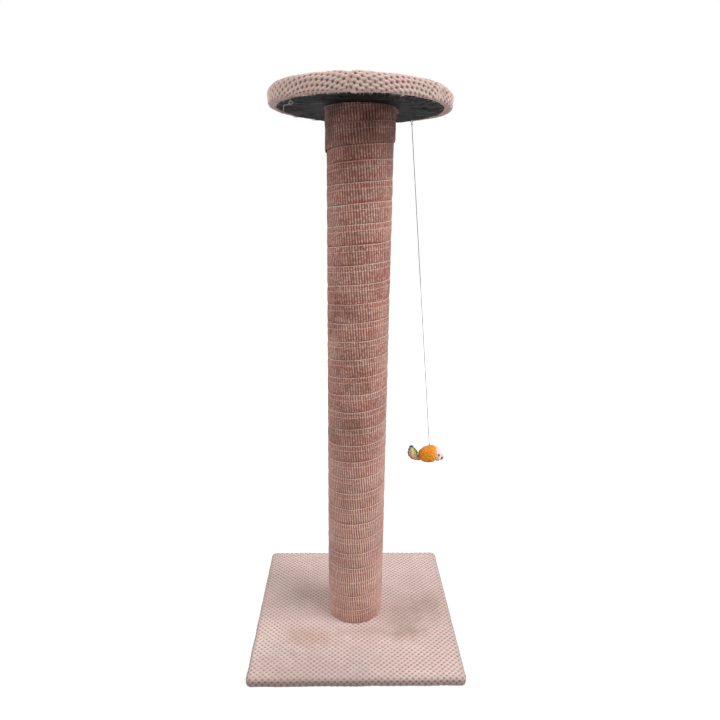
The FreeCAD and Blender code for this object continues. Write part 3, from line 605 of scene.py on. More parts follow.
def felt_finish():
    """Grey-black needle felt."""
    finish = Finish("felt", Roughness=0.95, Sheen_Weight=0.2, Specular_IOR_Level=0.1)
    where = finish.place()
    fibres = finish.noise(finish.stretched(where, 1.0, 2.4, 1.0), 900.0, 4.0, 0.7)
    clumps = finish.noise(where, 120.0, 3.0)
    paint = finish.mix(finish.step(fibres * 0.6 + clumps * 0.4, 0.35, 0.65),
                       colour(38, 37, 39), colour(74, 72, 74))
    return finish.finished(paint, fibres, reach=0.0004)


def make_base_felt():
    """Felt sheet under the base: a square with round corners and the bolt's round opening.

    A point is carried from the opening's circle to the rounded square as its row goes out.
    """
    half = FELT_HIGH[0]
    opening, corner = 15.0, 8.0
    angle = np.arange(0, 360, 1.5) * TURN / 360
    way = np.stack([np.cos(angle), np.sin(angle)], -1)
    square = way * ((half - corner) / np.abs(way).max(axis=1))[:, None]
    outline = np.clip(square, corner - half, half - corner)
    beyond = way / np.linalg.norm(way, axis=1)[:, None]
    at_corner = (np.abs(np.abs(way[:, 0]) - np.abs(way[:, 1])) < 0.06)[:, None]
    flat_way = np.sign(way) * (np.abs(way) >= np.abs(way).max(axis=1)[:, None] - 1e-9)
    outline = outline + corner * np.where(at_corner, beyond, flat_way)
    rim = way * opening
    low, high = FELT_LOW[2] + 0.02, FELT_HIGH[2] - 0.05
    rows = []
    for share, level in ((0, high), (0, low), (0.25, low), (0.5, low), (0.75, low), (0.97, low),
                         (1, low + 0.3), (1, high), (0.5, high), (0, high)):
        plan = rim + (outline - rim) * share
        rows.append(np.column_stack([plan, np.full(len(plan), level)]))
    points = np.array(rows)
    faces = grid_faces(len(rows), len(angle), around=True)[:, ::-1]
    mesh = new_mesh("base_felt", points.reshape(-1, 3), faces)
    felt = piece_of("base_felt", mesh, "stand", felt_finish(), ["base_liner"])


# ---- Woven tape on the post ---------------------------------------------------------------------

TAPE_PITCH = 32.7             # rise of the winding in one turn
TAPE_START = 25.0             # height of a lower edge at +X
RIBS_PER_TURN = 76.35
RIB_LEAN = 0.655              # ribs stand square to the slanting tape: their drift across it
RIB_HEIGHT = 0.38
STEPS_PER_RIB = 6
TURN_LENGTH = TAPE_PITCH * 10.7
SELVEDGE = 0.965              # share across the tape where its pale upper edge runs
THREAD = 0.67                 # and its pale inner thread
TAPE_ROWS = np.array([0, 0.02, 0.06, 0.14, 0.26, 0.40, 0.54, 0.63, THREAD, 0.71, 0.82, 0.92,
                      0.955, 0.985, 1.0])


def tape_section(across):
    """Height of the tape over its own back, 0 to 1: crowned, with two raised pale threads."""
    crown = np.clip(4 * across * (1 - across), 0, 1) ** 0.36
    selvedge = 0.13 * hump(across, SELVEDGE, 0.022)
    thread = 0.09 * hump(across, THREAD, 0.022)
    return 0.55 + 0.38 * crown + selvedge + thread


def rib_height(ribs, across):
    """0 in the groove between two ribs to 1 on a rib, as a sine squared."""
    return np.sin((ribs + (across - 0.5) * RIB_LEAN) * math.pi) ** 2


def wound_strip(name, start_height, first_turn, last_turn, first_angle, inner, thickness, ends,
                settle, seed):
    """Woven tape wound on a cylinder, as one strip.

    The two numbers of the strip are its length in turns and the share across its width: a point
    turns once round the post and rises one pitch per turn. Its radius is the section's height
    plus the ribs. It is trimmed level at both ends by holding its height between them.
    """
    steps = RIBS_PER_TURN * STEPS_PER_RIB
    turns = np.arange(round(first_turn * steps), round(last_turn * steps) + 1) / steps
    across, turns = np.meshgrid(TAPE_ROWS, turns, indexing="ij")
    angle = turns * TURN + first_angle
    rise = start_height + TAPE_PITCH * (turns + across)
    height = np.clip(rise, *ends)
    held = np.clip((height - start_height) / TAPE_PITCH - turns, 0, 1)
    ribs = turns * RIBS_PER_TURN
    strip = np.stack([turns * TURN_LENGTH, across * TAPE_PITCH], -1)
    lift = rib_height(ribs, held) * (1 - 0.6 * hump(held, SELVEDGE, 0.03))
    uneven = 0.17 * ripple(strip, 24, seed) + 0.10 * ripple(strip, 5, seed + 1)
    reach = inner + thickness * tape_section(held) + RIB_HEIGHT * lift + uneven
    reach = reach - settle(angle, height)
    level = height + 0.35 * ripple(np.stack([turns * 340, across * 0], -1), 60, seed + 2) * (
        (height > ends[0] + 1.5) & (height < ends[1] - 1.5))
    points = np.stack([reach * np.cos(angle), reach * np.sin(angle), level], -1).reshape(-1, 3)
    faces = grid_faces(*across.shape)
    corner = height.ravel()[faces]
    trimmed = (corner >= ends[1] - 1e-6).all(axis=1) | (corner <= ends[0] + 1e-6).all(axis=1)
    uv = grid_uv(np.stack([ribs, held], -1)).reshape(-1, 4, 2)[~trimmed]
    return new_mesh(name, points, faces[~trimmed], corner_uv=uv.reshape(-1, 2))


def tape_finish(name, shade):
    """Woven tape: pairs of tan yarns over a red-brown ground, pale selvedge and thread, painted
    shade in the gaps between turns and painted shadow of the platform near the top.
    """
    finish = Finish(name, Roughness=0.9, Sheen_Weight=0.24, Specular_IOR_Level=0.15)
    where = finish.place()
    ribs, across = finish.pattern()
    phase = ribs + (across - 0.5) * RIB_LEAN + (finish.noise(where, 150.0) - 0.5) * 0.2
    ridge = 0.5 - 0.5 * finish.math("COSINE", phase * TURN)
    rib_number = finish.math("FLOOR", phase)
    pick = across * 12 + finish.math("MODULO", rib_number, 2.0) * 0.5
    spot = finish.node("ShaderNodeTexWhiteNoise",
                       {"Vector": finish.join(rib_number, finish.math("FLOOR", pick))},
                       noise_dimensions="2D")
    spot = Field(finish, spot.outputs["Value"])
    length = finish.join(ribs * 0.035, across * 1.2)
    streak = finish.join(ribs * 0.07, across * 4.5)
    reddish = finish.step(finish.noise(streak, 1.0, 3.0, 0.6), 0.42, 0.66)
    rosy = finish.step(finish.noise(length, 2.3, 2.0), 0.42, 0.66)
    single = finish.noise(finish.join(rib_number * 0.7, across * 1.5), 1.0, 1.0)
    worn = finish.step(finish.noise(where, 12.0, 3.0, 0.55), 0.40, 0.64)
    yarn = finish.mix(rosy * 0.6, colour(*shade["tan"]), colour(*shade["rose"]))
    yarn = finish.mix(reddish * 0.7, yarn, colour(*shade["red"]))
    yarn = finish.mix(finish.step(single, 0.35, 0.7) * 0.35, yarn, colour(*shade["grey"]))
    level = finish.split(where)[2]
    # The yarn is paler towards the bottom of the post and less pale higher up.
    paler_low_down = 0.62 - finish.step(level, 0.15, 0.75) * 0.38
    yarn = finish.mix(paler_low_down, yarn, colour(*shade["pale"]))
    mottled = 0.40 + 0.34 * finish.step(level, 0.2, 0.7)
    yarn = finish.mix(spot * mottled + worn * 0.32 - 0.03, yarn, colour(*shade["deep"]))
    ground = finish.mix(reddish, colour(*shade["ground"]), colour(*shade["rust"]))
    paint = finish.mix(0.14 + 0.74 * ridge, ground, yarn)
    low_band = 1 - finish.step(across, 0.02, 0.24)
    paint = finish.mix(low_band * 0.4 * reddish, paint, colour(*shade["rust"]))
    broken = finish.step(finish.noise(finish.join(ribs * 0.9, across * 3.0), 1.0, 2.0), 0.3, 0.6)
    selvedge = finish.band(across, 0.935, 0.955, 0.978, 0.992)
    thread = finish.band(across, 0.645, 0.66, 0.68, 0.70)
    pale = finish.math("MAXIMUM", selvedge * (0.16 + 0.56 * broken), thread * broken * 0.62)
    paint = finish.mix(pale * (0.55 + 0.45 * spot), paint, colour(*shade["pale"]))
    # Painted shade in the narrow gap where one turn of the tape meets the next.
    seam = finish.math("MAXIMUM", finish.step(across, 0.985, 1.0),
                       1 - finish.step(across, 0.0, 0.025))
    paint = finish.mix(seam * (0.18 + 0.5 * broken), paint, colour(*shade["seam"]))
    # Painted shadow of the platform over the top of the post: blotchy, strongest in the grooves, in
    # the seam colour.
    shadow_mottle = finish.step(finish.noise(where, 26.0, 2.0), 0.45, 0.62)
    platform_shadow = finish.step(level, 0.80, 0.965) * (0.36 + 0.3 * shadow_mottle) * (1.25 - 0.5 * ridge)
    paint = finish.mix(platform_shadow, paint, colour(*shade["seam"]))
    for centre, reach, weight in TAPE_STAINS:
        paint = finish.tinted_patch(paint, where, centre, reach, colour(*shade["soil"]), weight,
                               start=0.2, ragged=(60.0, 2.0))
    height = ridge + finish.noise(where, 900.0, 2.0) * 0.3
    return finish.finished(paint, height, reach=0.0005, strength=0.6)


# seam is the colour of the painted shade in the gaps between turns and of the painted shadow under
# the platform
TAPE_SHADE = {"tan": (228, 188, 172), "rose": (230, 172, 158), "red": (206, 116, 96),
              "grey": (194, 164, 150), "deep": (146, 96, 83), "ground": (104, 60, 51),
              "rust": (124, 56, 43), "pale": (236, 202, 187), "seam": (70, 36, 31),
              "soil": (92, 66, 48)}
TAPE_STAINS = (               # centre, reach along each axis, weight
    ((0.022, -0.052, 0.933), (0.042, 0.042, 0.013), 0.60),
    ((-0.046, -0.030, 0.425), (0.032, 0.032, 0.024), 0.45),
    ((-0.010, -0.056, 0.445), (0.036, 0.036, 0.022), 0.30),
    ((-0.024, -0.050, 0.655), (0.038, 0.038, 0.018), 0.26),
)
LOW_STAPLES = (24, 36)        # degrees round the post
HIGH_STAPLES = (128, 140)
STAPLE_DENT = 0.9             # how deep a staple presses the tape in
STAPLE_REACH = 8.5            # and how far above and below its middle


def make_tape():
    """The winding over the whole post in two lengths of the strip, and the second layer."""
    bottom, top = TAPE_LOW[2], TAPE_HIGH[2]
    inner = TUBE_HIGH[0] + 0.35
    thickness = TAPE_HIGH[0] - inner - 0.35
    material = tape_finish("woven_tape", TAPE_SHADE)
    staple_heights = (TAPE_STAPLES[0][2] + 5, TAPE_STAPLES[1][2] - 5)

    def dented(angles, level):
        """How far the tape is pressed in under staples at these angles and this height."""
        def settle(angle, height):
            pressed = 0
            for place in angles:
                apart = np.angle(np.exp(1j * (angle - math.radians(place)))) * inner
                pressed = pressed + STAPLE_DENT * np.exp(-(apart / 2.2) ** 2) * smooth(
                    STAPLE_REACH - np.abs(height - level), 0, 3)
            return pressed
        return settle

    last = (top - TAPE_START) / TAPE_PITCH
    middle = last / 2
    low_dents = dented(LOW_STAPLES, staple_heights[0])
    for name, start, end, replaced in (("tape_lower", -1.4, middle, ["post_winding"]),
                                       ("tape_upper", middle, last, [])):
        mesh = wound_strip(name, TAPE_START, start, end, 0, inner, thickness, (bottom, top),
                           low_dents, 21)
        piece_of(name, mesh, "stand", material, replaced)

    wrap_inner = TAPE_HIGH[0] + 0.3
    wrap_thickness = WRAP_HIGH[0] - wrap_inner - 0.3
    bottom = WRAP_LOW[2]
    mesh = wound_strip("tape_second_layer", bottom, 0, (top - bottom) / TAPE_PITCH, TURN / 4,
                       wrap_inner, wrap_thickness, (bottom, top),
                       dented(HIGH_STAPLES, staple_heights[1]), 41)
    piece_of("tape_second_layer", mesh, "stand", material, ["top_wrap"])


def make_tape_frays():
    """Cut yarn ends of the tape: round the post's top, and along the second layer's raw end."""
    draw = np.random.default_rng(5)
    count = 420
    angle = draw.uniform(0, TURN, count)
    reach = WRAP_HIGH[0] - draw.uniform(0.3, 1.6, count)
    out = np.stack([np.cos(angle), np.sin(angle), np.zeros(count)], -1)
    roots = out * reach[:, None]
    roots[:, 2] = TAPE_HIGH[2] - draw.uniform(1.2, 2.6, count)
    ways = out * draw.uniform(0.05, 0.7, count)[:, None] + np.array((0, 0, 0.8))
    ways += draw.normal(0, 0.18, (count, 3))
    ring = blades(roots, ways, 2.3, 0.7, 0.5, 6)
    count = 46
    angle = np.radians(draw.normal(2, 3.2, count))
    out = np.stack([np.cos(angle), np.sin(angle), np.zeros(count)], -1)
    roots = out * (WRAP_HIGH[0] - 0.6)
    roots[:, 2] = TAPE_HIGH[2] - draw.uniform(1.0, 5.0, count)
    ways = out + draw.normal(0, 0.32, (count, 3))
    tuft = blades(roots, ways, 3.6, 0.8, 0.6, 8)
    points, faces, tint = joined([ring, tuft])
    finish = Finish("cut_yarn", Roughness=0.9)
    paint = finish.mix(finish.painted("tint"), colour(186, 150, 134), colour(226, 200, 184))
    mesh = new_mesh("tape_frays", points, faces, painted={"tint": tint})
    piece_of("tape_frays", mesh, "stand", finish.finished(paint))


# ---- Platform -----------------------------------------------------------------------------------

PLATFORM_RADIUS = COVER_HIGH[0]
PLATFORM_EDGE = 12.0
PLATFORM_HEM = 16.0
PLATFORM_ACROSS = 18.0        # the knit is pulled wider and shorter than on the base
PLATFORM_ALONG = 8.7
DART = math.radians(-97.5)    # where spare cloth is tucked in at the front rim
SECOND_LOBE = math.radians(-67.0)


def around_from(angle, middle):
    """Signed angle from the middle, -half a turn to half a turn."""
    return np.angle(np.exp(1j * (angle - middle)))


def pad_sink(x):
    """How far the worn pad's top lies below a new one: nothing at the -X rim, most at +X."""
    return 2.5 * (1 + x / PLATFORM_RADIUS)


def hem_share(angle):
    """Width of the turned-in hem as a share of the widest: it is narrowest at -X."""
    return 1 - 0.34 * hump(around_from(angle, math.pi), 0, 0.9)


def behind(angle):
    """0 at the front rim, 1 at the back one."""
    return (0.5 + 0.5 * np.sin(angle)) ** 2


def rim_folds(angle, past_flat, on_rim, low_rim):
    """Height of the folds in the rim's cloth: the tuck and its lobe, and gathers on each side.

    The tuck is a narrow bell downwards with a wider one beside it. The gathers are sine waves
    of a changing pitch under a wide bell; those at the right lean as they go down.
    """
    beside_dart = around_from(angle, DART)
    tuck = -1.8 * on_rim * np.exp(-(beside_dart / math.radians(1.0)) ** 2)
    lobe = 1.2 * on_rim * hump(beside_dart, math.radians(3.2), math.radians(2.4))
    left = np.sin(angle * 131 + 1.5 * np.sin(angle * 17))
    left = 0.55 * left * low_rim * hump(angle, math.radians(215), 0.35)
    leaning = angle - 1.4 * past_flat / PLATFORM_RADIUS
    right = np.sin(leaning * 78 + 1.2 * np.sin(angle * 11))
    right = 0.9 * right * on_rim * hump(around_from(angle, -0.55), 0, 0.34)
    return tuck + lobe + left + right


def hem_edge(angle):
    """How ragged the hem's cut edge is, and how far the hem hangs, at each angle."""
    scallop = np.abs(np.sin(angle * 62 + 1.2 * np.sin(angle * 23))) ** 0.8
    ragged = 1.6 * scallop + 0.7 * np.sin(angle * 151 + 2 * np.sin(angle * 31))
    side = np.cos(angle)
    droop = 0.5 * scallop + 2.6 * np.maximum(side, 0) - 1.6 * np.maximum(-side, 0) - 0.9
    droop = droop + 3.3 * hump(around_from(angle, DART), math.radians(2.4), math.radians(2.8))
    droop = droop + 2.2 * hump(around_from(angle, SECOND_LOBE), 0, math.radians(1.2))
    return ragged, droop


def make_platform_cover():
    """Plush drawn over the round pad and gathered under it.

    Rings go out from the middle of the top; a ring's distance runs along a rounded path over
    the rim and under. The lattice is that of flat cloth, except that the tuck at the front has
    drawn the cloth towards it, so the dimples' columns lean away on both sides.
    """
    top, under = COVER_HIGH[2], COVER_LOW[2]
    radius = PLATFORM_RADIUS
    path = rounded_path(((0, top), (radius, top), (radius, under),
                         (radius - PLATFORM_HEM, under + 1.9),
                         (radius - PLATFORM_HEM - 0.3, under + 3.0)), (PLATFORM_EDGE, 4.5, 0.5))
    total = path[0][-1]
    flat_end = radius - PLATFORM_EDGE
    rim_end = flat_end + PLATFORM_EDGE * TURN / 4 + (top - under - PLATFORM_EDGE - 4.5) + 7
    rings = np.r_[0, np.arange(2.0, flat_end - 6, 1.9), np.arange(flat_end - 6, rim_end, 1.15),
                  np.linspace(rim_end, total, 10)]
    columns = 600
    angle, away = np.meshgrid(np.arange(columns + 1) * TURN / columns, rings)
    place, normal = on_path(path, away)

    beside_dart = around_from(angle, DART)
    down_rim = np.clip((away - flat_end + 8) / (rim_end - flat_end), 0, 1.2)
    drag = np.sign(beside_dart) * math.radians(6) * np.exp(-np.abs(beside_dart) / 0.6)
    cloth_angle = angle - drag * down_rim
    across, along = away * np.cos(cloth_angle), away * np.sin(cloth_angle)
    depth, crease = dimple_relief(across, along, PLATFORM_ACROSS, PLATFORM_ALONG)

    on_rim = smooth(away, flat_end - 4, flat_end + 6)
    low_rim = smooth(away, flat_end + 8, rim_end)
    reach = np.minimum(away, radius)
    ring_place = np.stack([reach * np.cos(angle), reach * np.sin(angle), away], -1)
    fluff = 0.2 * ripple(ring_place, 3.0, 51) + 0.45 * ripple(ring_place, 30, 52)
    puff = 0.4 - (DIMPLE_DEPTH + 0.8 * on_rim) * depth - (0.5 + 0.5 * on_rim) * crease + fluff
    puff = puff + rim_folds(angle, away - flat_end, on_rim, low_rim)
    hem = smooth(away, rim_end - 9, rim_end - 1)
    puff = np.maximum(puff, -2.1) * (1 - 0.6 * hem)

    ragged, droop = hem_edge(angle)
    back = behind(angle)
    out = place[..., 0] + normal[..., 0] * puff
    out = np.where(away > rim_end - 4, radius - (radius - out) * hem_share(angle), out)
    out = out - ragged * smooth(away, rim_end + 4, total - 2)
    out = out - 1.2 * back * smooth(away, rim_end - 14, rim_end)
    turned_in = smooth(away, rim_end - 1, total - 5)
    height = place[..., 1] + normal[..., 1] * puff
    height = height - hem * (1 - turned_in) * (droop - 1.3 * back)
    height = np.where(turned_in > 0, np.minimum(height, under + 2.2), height)
    height = height - pad_sink(reach * np.cos(angle)) * (1 - low_rim)
    points = np.stack([out * np.cos(angle), out * np.sin(angle), height], -1)
    faces = grid_faces(len(rings), columns, around=True)[:, ::-1]
    uv = grid_uv(np.stack([across / PLATFORM_ACROSS, along / PLATFORM_ALONG], -1))
    uv = uv.reshape(-1, 4, 2)[:, ::-1].reshape(-1, 2)
    material = plush_finish(
        "platform_plush", (PLATFORM_ACROSS, PLATFORM_ALONG), core=(1.2, 3.5),
        pile=colour(220, 189, 178), rosy=colour(218, 178, 171), drab=colour(202, 175, 163),
        hollow=colour(64, 35, 28))
    mesh = new_mesh("platform_plush", points[:, :-1].reshape(-1, 3), faces, corner_uv=uv)
    cover = piece_of("platform_plush", mesh, "stand", material, ["platform_cover"])
    flat_side = 2 * total * MM
    math.pi * (total * MM) ** 2


def make_hem_fringe():
    """Pale pile that sticks out of the hem's cut edge, all round under the platform."""
    draw = np.random.default_rng(61)
    count = 1500
    angle = draw.uniform(0, TURN, count)
    reach = PLATFORM_RADIUS - PLATFORM_HEM * hem_share(angle) - draw.uniform(-0.8, 1.6, count)
    out = np.stack([np.cos(angle), np.sin(angle), np.zeros(count)], -1)
    roots = out * reach[:, None]
    roots[:, 2] = COVER_LOW[2] + draw.uniform(0.9, 2.4, count) + 0.6 * behind(angle)
    ways = -out * draw.uniform(0.3, 1.0, count)[:, None] + draw.normal(0, 0.3, (count, 3))
    ways[:, 2] -= 0.25
    points, faces, tint = blades(roots, ways, 2.0, 0.8, 0.6, 62)
    finish = Finish("hem_pile", Roughness=0.95, Sheen_Weight=0.3)
    paint = finish.mix(finish.painted("tint"), colour(196, 170, 160), colour(236, 218, 208))
    mesh = new_mesh("platform_hem_fringe", points, faces, painted={"tint": tint})
    piece_of("platform_hem_fringe", mesh, "stand", finish.finished(paint))


def make_black_cloth():
    """Thin black cloth under the board: it sags a little, most towards the back rim.

    Its sag over the radius is a lopsided hump, and shallow folds run out from the post.
    """
    outer = LINER_HIGH[0]
    level = LINER_LOW[2] + 0.25
    near, far = TAPE_HIGH[0] + 5.0, PLATFORM_RADIUS - PLATFORM_HEM + 3.0
    rings = np.r_[20, 40, near, near + np.arange(1, 48) * (far - near) / 48, far, 137, outer - 1]
    columns = 240
    angle, away = np.meshgrid(np.arange(columns) * TURN / columns, rings)
    share = np.clip((away - near) / (far - near), 0, 1)
    shape = share ** 1.25 * (1 - share) ** 0.42
    shape = shape / shape.max()
    polar = np.stack([np.cos(angle), np.sin(angle)], -1)
    amount = 3.3 + 1.7 * np.sin(angle) + 1.5 * np.cos(angle) + 0.5 * ripple(polar, 0.9, 71)
    folds = 0.7 * ripple(polar, 0.13, 72) + 0.5 * ripple(polar + away[..., None] * 0.004, 0.07, 73)
    plan = polar * away[..., None]
    creases = 0.25 * ripple(plan, 18, 74)
    sag = shape * (amount + folds + creases)
    for loop in (TOY_LOOP, SPARE_LOOP):
        apart = np.linalg.norm(plan - loop[:2], axis=-1)
        sag = sag * (1 - 0.95 * np.exp(-(apart / 6.5) ** 2))
    height = level - np.maximum(sag, 0)
    points = np.concatenate([plan, height[..., None]], -1).reshape(-1, 3)
    finish = Finish("black_cloth", Roughness=0.6, Specular_IOR_Level=0.08)
    where = finish.place()
    weave_x = finish.math("SINE", finish.split(where)[0] * (TURN / 0.0011))
    weave_y = finish.math("SINE", finish.split(where)[1] * (TURN / 0.0011))
    smears = finish.noise(where, 26.0, 3.0, 0.6)
    dust = finish.step(finish.noise(where, 240.0, 3.0, 0.7), 0.62, 0.78)
    streaks = finish.noise(finish.stretched(where, 12.0, 40.0, 12.0), 1.6, 4.0, 0.65)
    paint = finish.mix(finish.step(smears, 0.3, 0.75), colour(13, 12, 14), colour(34, 33, 35))
    # Painted sheen: faint lighter streaks where the cloth's wrinkles catch the light.
    paint = finish.mix(finish.step(streaks, 0.52, 0.70) * 0.4, paint, colour(96, 94, 94))
    paint = finish.mix(dust * 0.12, paint, colour(120, 116, 116))
    height = weave_x * weave_y * 0.35 + smears
    material = finish.finished(paint, height, reach=0.0008, strength=0.6)
    faces = grid_faces(len(rings), columns, around=True)[:, ::-1]
    mesh = new_mesh("platform_black_cloth", points, faces)
    cloth = piece_of("platform_black_cloth", mesh, "stand", material,
                     ["platform_liner"])


def make_foam_pad():
    """Foam under the plush: a disc with a round upper rim, turned about the post's axis."""
    radius, low, high = FOAM_HIGH[0] - 1.6, FOAM_LOW[2] + 0.05, FOAM_HIGH[2] - 0.8
    path = rounded_path(((0, low), (radius, low), (radius, high), (0, high)), (1.0, 9.0))
    along = np.linspace(0, path[0][-1], 70)
    place, _ = on_path(path, along)
    columns = 120
    angle, _ = np.meshgrid(np.arange(columns) * TURN / columns, along)
    reach = place[:, :1] + np.zeros(columns)
    level = place[:, 1:] + np.zeros(columns)
    sink = pad_sink(reach * np.cos(angle)) * smooth(level, low, high)
    points = np.stack([reach * np.cos(angle), reach * np.sin(angle), level - sink], -1)
    finish = Finish("foam", Roughness=0.9)
    where = finish.place()
    pores = finish.step(finish.noise(where, 900.0, 2.0), 0.45, 0.6)
    paint = finish.mix(pores, colour(232, 222, 190), colour(206, 192, 152))
    faces = grid_faces(len(along), columns, around=True)
    mesh = new_mesh("platform_foam_pad", points.reshape(-1, 3), faces)
    pad = piece_of("platform_foam_pad", mesh, "stand",
                   finish.finished(paint, pores, reach=0.0006), ["platform_foam"])


# ---- String and its knots -----------------------------------------------------------------------

STRING_DIAMETER = 1.2


def string_finish(name, dark, light):
    """Grey twisted cotton."""
    finish = Finish(name, Roughness=0.8)
    where = finish.place()
    twist = finish.noise(where, 900.0, 2.0, 0.6)
    paint = finish.mix(finish.step(twist, 0.3, 0.7), dark, light)
    return finish.finished(paint, twist, reach=0.0002)


def smooth_line(points):
    """Points read along the cord's own spline, whose control points are the route's."""
    curve = bpy.data.curves.new("route", "CURVE")
    curve.dimensions = "3D"
    spline = curve.splines.new("NURBS")
    spline.points.add(len(points) - 1)
    for point, place in zip(spline.points, points):
        point.co = (*place, 1)
    spline.order_u = 3
    spline.use_endpoint_u = True
    spline.resolution_u = 64
    holder = bpy.data.objects.new("route", curve)
    bpy.context.scene.collection.objects.link(holder)
    bpy.context.view_layer.update()
    line = bpy.data.meshes.new_from_object(holder)
    places = np.array([vertex.co for vertex in line.vertices])
    bpy.data.objects.remove(holder)
    bpy.data.meshes.remove(line)
    return places


def overhand_knot(centre, size, tilt):
    """A closed knotted line: the trefoil, (sin t + 2 sin 2t, cos t - 2 cos 2t, -sin 3t)."""
    t = np.linspace(0, TURN, 90, endpoint=False)
    line = np.stack([np.sin(t) + 2 * np.sin(2 * t), np.cos(t) - 2 * np.cos(2 * t),
                     -1.2 * np.sin(3 * t)], -1) * size / 3
    turn = np.array(Matrix.Rotation(tilt, 3, "Y") @ Matrix.Rotation(tilt * 0.7, 3, "X"))
    return line @ turn.T + centre


def make_string():
    """The toy's string, its loop over the anchor and its two knots, and the short spare one."""
    material = string_finish("string", colour(52, 52, 54), colour(92, 91, 90))
    faded = string_finish("spare_string", colour(150, 148, 146), colour(206, 204, 200))
    radius = STRING_DIAMETER / 2
    course = (TOY_KNOT - UPPER_KNOT) / np.linalg.norm(TOY_KNOT - UPPER_KNOT)
    top = UPPER_KNOT
    end = TOY_KNOT - course * 2.3
    route = [top * MM, (top + course * 7) * MM, (end - course * 7) * MM, end * MM]
    line = smooth_line(route) / MM
    share = np.linspace(0, 1, 1500)
    steps = np.r_[0, np.cumsum(np.linalg.norm(np.diff(line, axis=0), axis=1))]
    path = np.stack([np.interp(share * steps[-1], steps, line[:, i]) for i in range(3)], -1)
    mesh = cord_mesh("toy_string_twisted", path, radius, sides=8, lay=3.4)
    string = piece_of("toy_string_twisted", mesh, "string", material, ["toy_string"])

    knot = piece_of("string_knot_tied", cord_mesh(
        "string_knot_tied", overhand_knot(UPPER_KNOT, 1.35, 0.5), 0.56, closed=True, lay=2.6),
        "string", material, ["string_knot"])
    toy_knot = piece_of("toy_knot_tied", cord_mesh(
        "toy_knot_tied", overhand_knot(TOY_KNOT, 1.35, 1.1), 0.56, closed=True, lay=2.6),
        "tie", material, ["toy_knot"])

    t = np.linspace(0, TURN, 72, endpoint=False)
    low, high = corners_of("string_loop")
    reach = (high[2] - low[2]) / 2 - radius
    ring = np.stack([np.sin(t) * reach, 0.25 * np.sin(2 * t), np.cos(t) * reach], -1) + TOY_LOOP
    piece_of("string_loop_tied", cord_mesh("string_loop_tied", ring, radius * 0.95, closed=True,
                                           lay=2.6), "loop", material, ["string_loop"])

    bow = np.stack([np.sin(t) * reach * (1 + 0.9 * np.maximum(np.sin(2 * t), 0)),
                    1.6 * np.sin(3 * t) + 1.2 * np.sin(t), np.cos(t) * reach], -1)
    piece_of("spare_loop_tied", cord_mesh("spare_loop_tied", bow + SPARE_LOOP, radius * 0.95,
                                          closed=True, lay=2.6), "stand", faded,
             ["spare_loop"])
    place = (SPARE_LOW + SPARE_HIGH) / 2
    run = np.linspace(0, 1, 70)
    aside = smooth(run, 0.0, 0.42)
    strand = np.stack([place[0] - 10.5 * aside, place[1] - 3.0 * aside - 9.0 * run ** 2,
                       SPARE_HIGH[2] - 1.5 * aside - 9 * np.maximum(run - 0.3, 0) / 0.7], -1)
    piece_of("spare_string_twisted", cord_mesh("spare_string_twisted", strand, radius, lay=2.8),
             "stand", faded, ["spare_string"])
    return string, toy_knot, knot, steps[-1], top


# ---- Toy ----------------------------------------------------------------------------------------

TOY_AXIS = np.array([0, TOY_KNOT[1], (BODY_LOW[2] + BODY_HIGH[2]) / 2])
EYE_ALONG = 5.6               # from the body's end to the eyes
TAIL_ROOT = (BODY_LOW[0], TOY_AXIS[2])
TAIL_STATIONS = (             # x and z from the root, half height, half thickness
    (5.91, -11.71, 2.6, 2.2), (3.21, -12.01, 3.6, 2.6), (-3.59, -10.41, 5.0, 3.2),
    (-9.29, -6.21, 8.0, 3.6), (-12.79, 0.49, 9.4, 3.6), (-14.69, 7.99, 7.2, 3.0),
    (-15.89, 14.39, 3.6, 2.0), (-16.29, 17.99, 1.2, 0.9))


def turned_form(stations, rows, columns, wobble, seed):
    """A closed form round a bent line along X: stations give its place, radius and rise."""
    known = np.array(stations, float)
    along = np.r_[0, np.cumsum(np.linalg.norm(np.diff(known, axis=0), axis=1))]
    fine = np.linspace(0, along[-1], rows)
    line = np.stack([np.interp(fine, along, known[:, i]) for i in range(3)], -1)
    for _ in range(5):
        line[1:-1] = (line[:-2] + 2 * line[1:-1] + line[2:]) / 4
    x, radius, rise = line.T[:, :, None]
    angle = np.arange(columns) * TURN / columns
    surface = np.stack([x + 0 * angle, radius * np.cos(angle), radius * np.sin(angle)], -1)
    bumps = wobble * (ripple(surface, 9, seed) + 0.5 * ripple(surface, 4, seed + 1))
    surface[..., 1:] *= (1 + bumps / np.maximum(radius, 3))[..., None]
    surface[..., 2] += rise
    return surface[:, ::-1]


def furry(surface, pile, density, seed, lean=(0, 0, 0)):
    """A turned form with short fur: blades stand on its faces and lean a little."""
    rows, columns = surface.shape[:2]
    faces = grid_faces(rows, columns, around=True)
    points = surface.reshape(-1, 3)
    draw = np.random.default_rng(seed)
    corner = points[faces]
    normal = np.cross(corner[:, 1] - corner[:, 0], corner[:, 3] - corner[:, 0])
    area = np.linalg.norm(normal, axis=1)
    count = int(area.sum() * density)
    chosen = draw.choice(len(faces), count, p=area / area.sum())
    u, v = draw.uniform(0, 1, (2, count, 1))
    place = (corner[chosen, 0] * (1 - u) * (1 - v) + corner[chosen, 1] * u * (1 - v)
             + corner[chosen, 2] * u * v + corner[chosen, 3] * (1 - u) * v)
    outward = normal[chosen] / np.maximum(area[chosen], 1e-9)[:, None]
    ways = outward + draw.normal(0, 0.35, (count, 3)) + np.array(lean)
    fur = blades(place - outward * 0.3, ways, pile, 0.55, 0.8, seed + 1)
    return joined([(points, faces, np.full(len(points), 0.35)), fur])


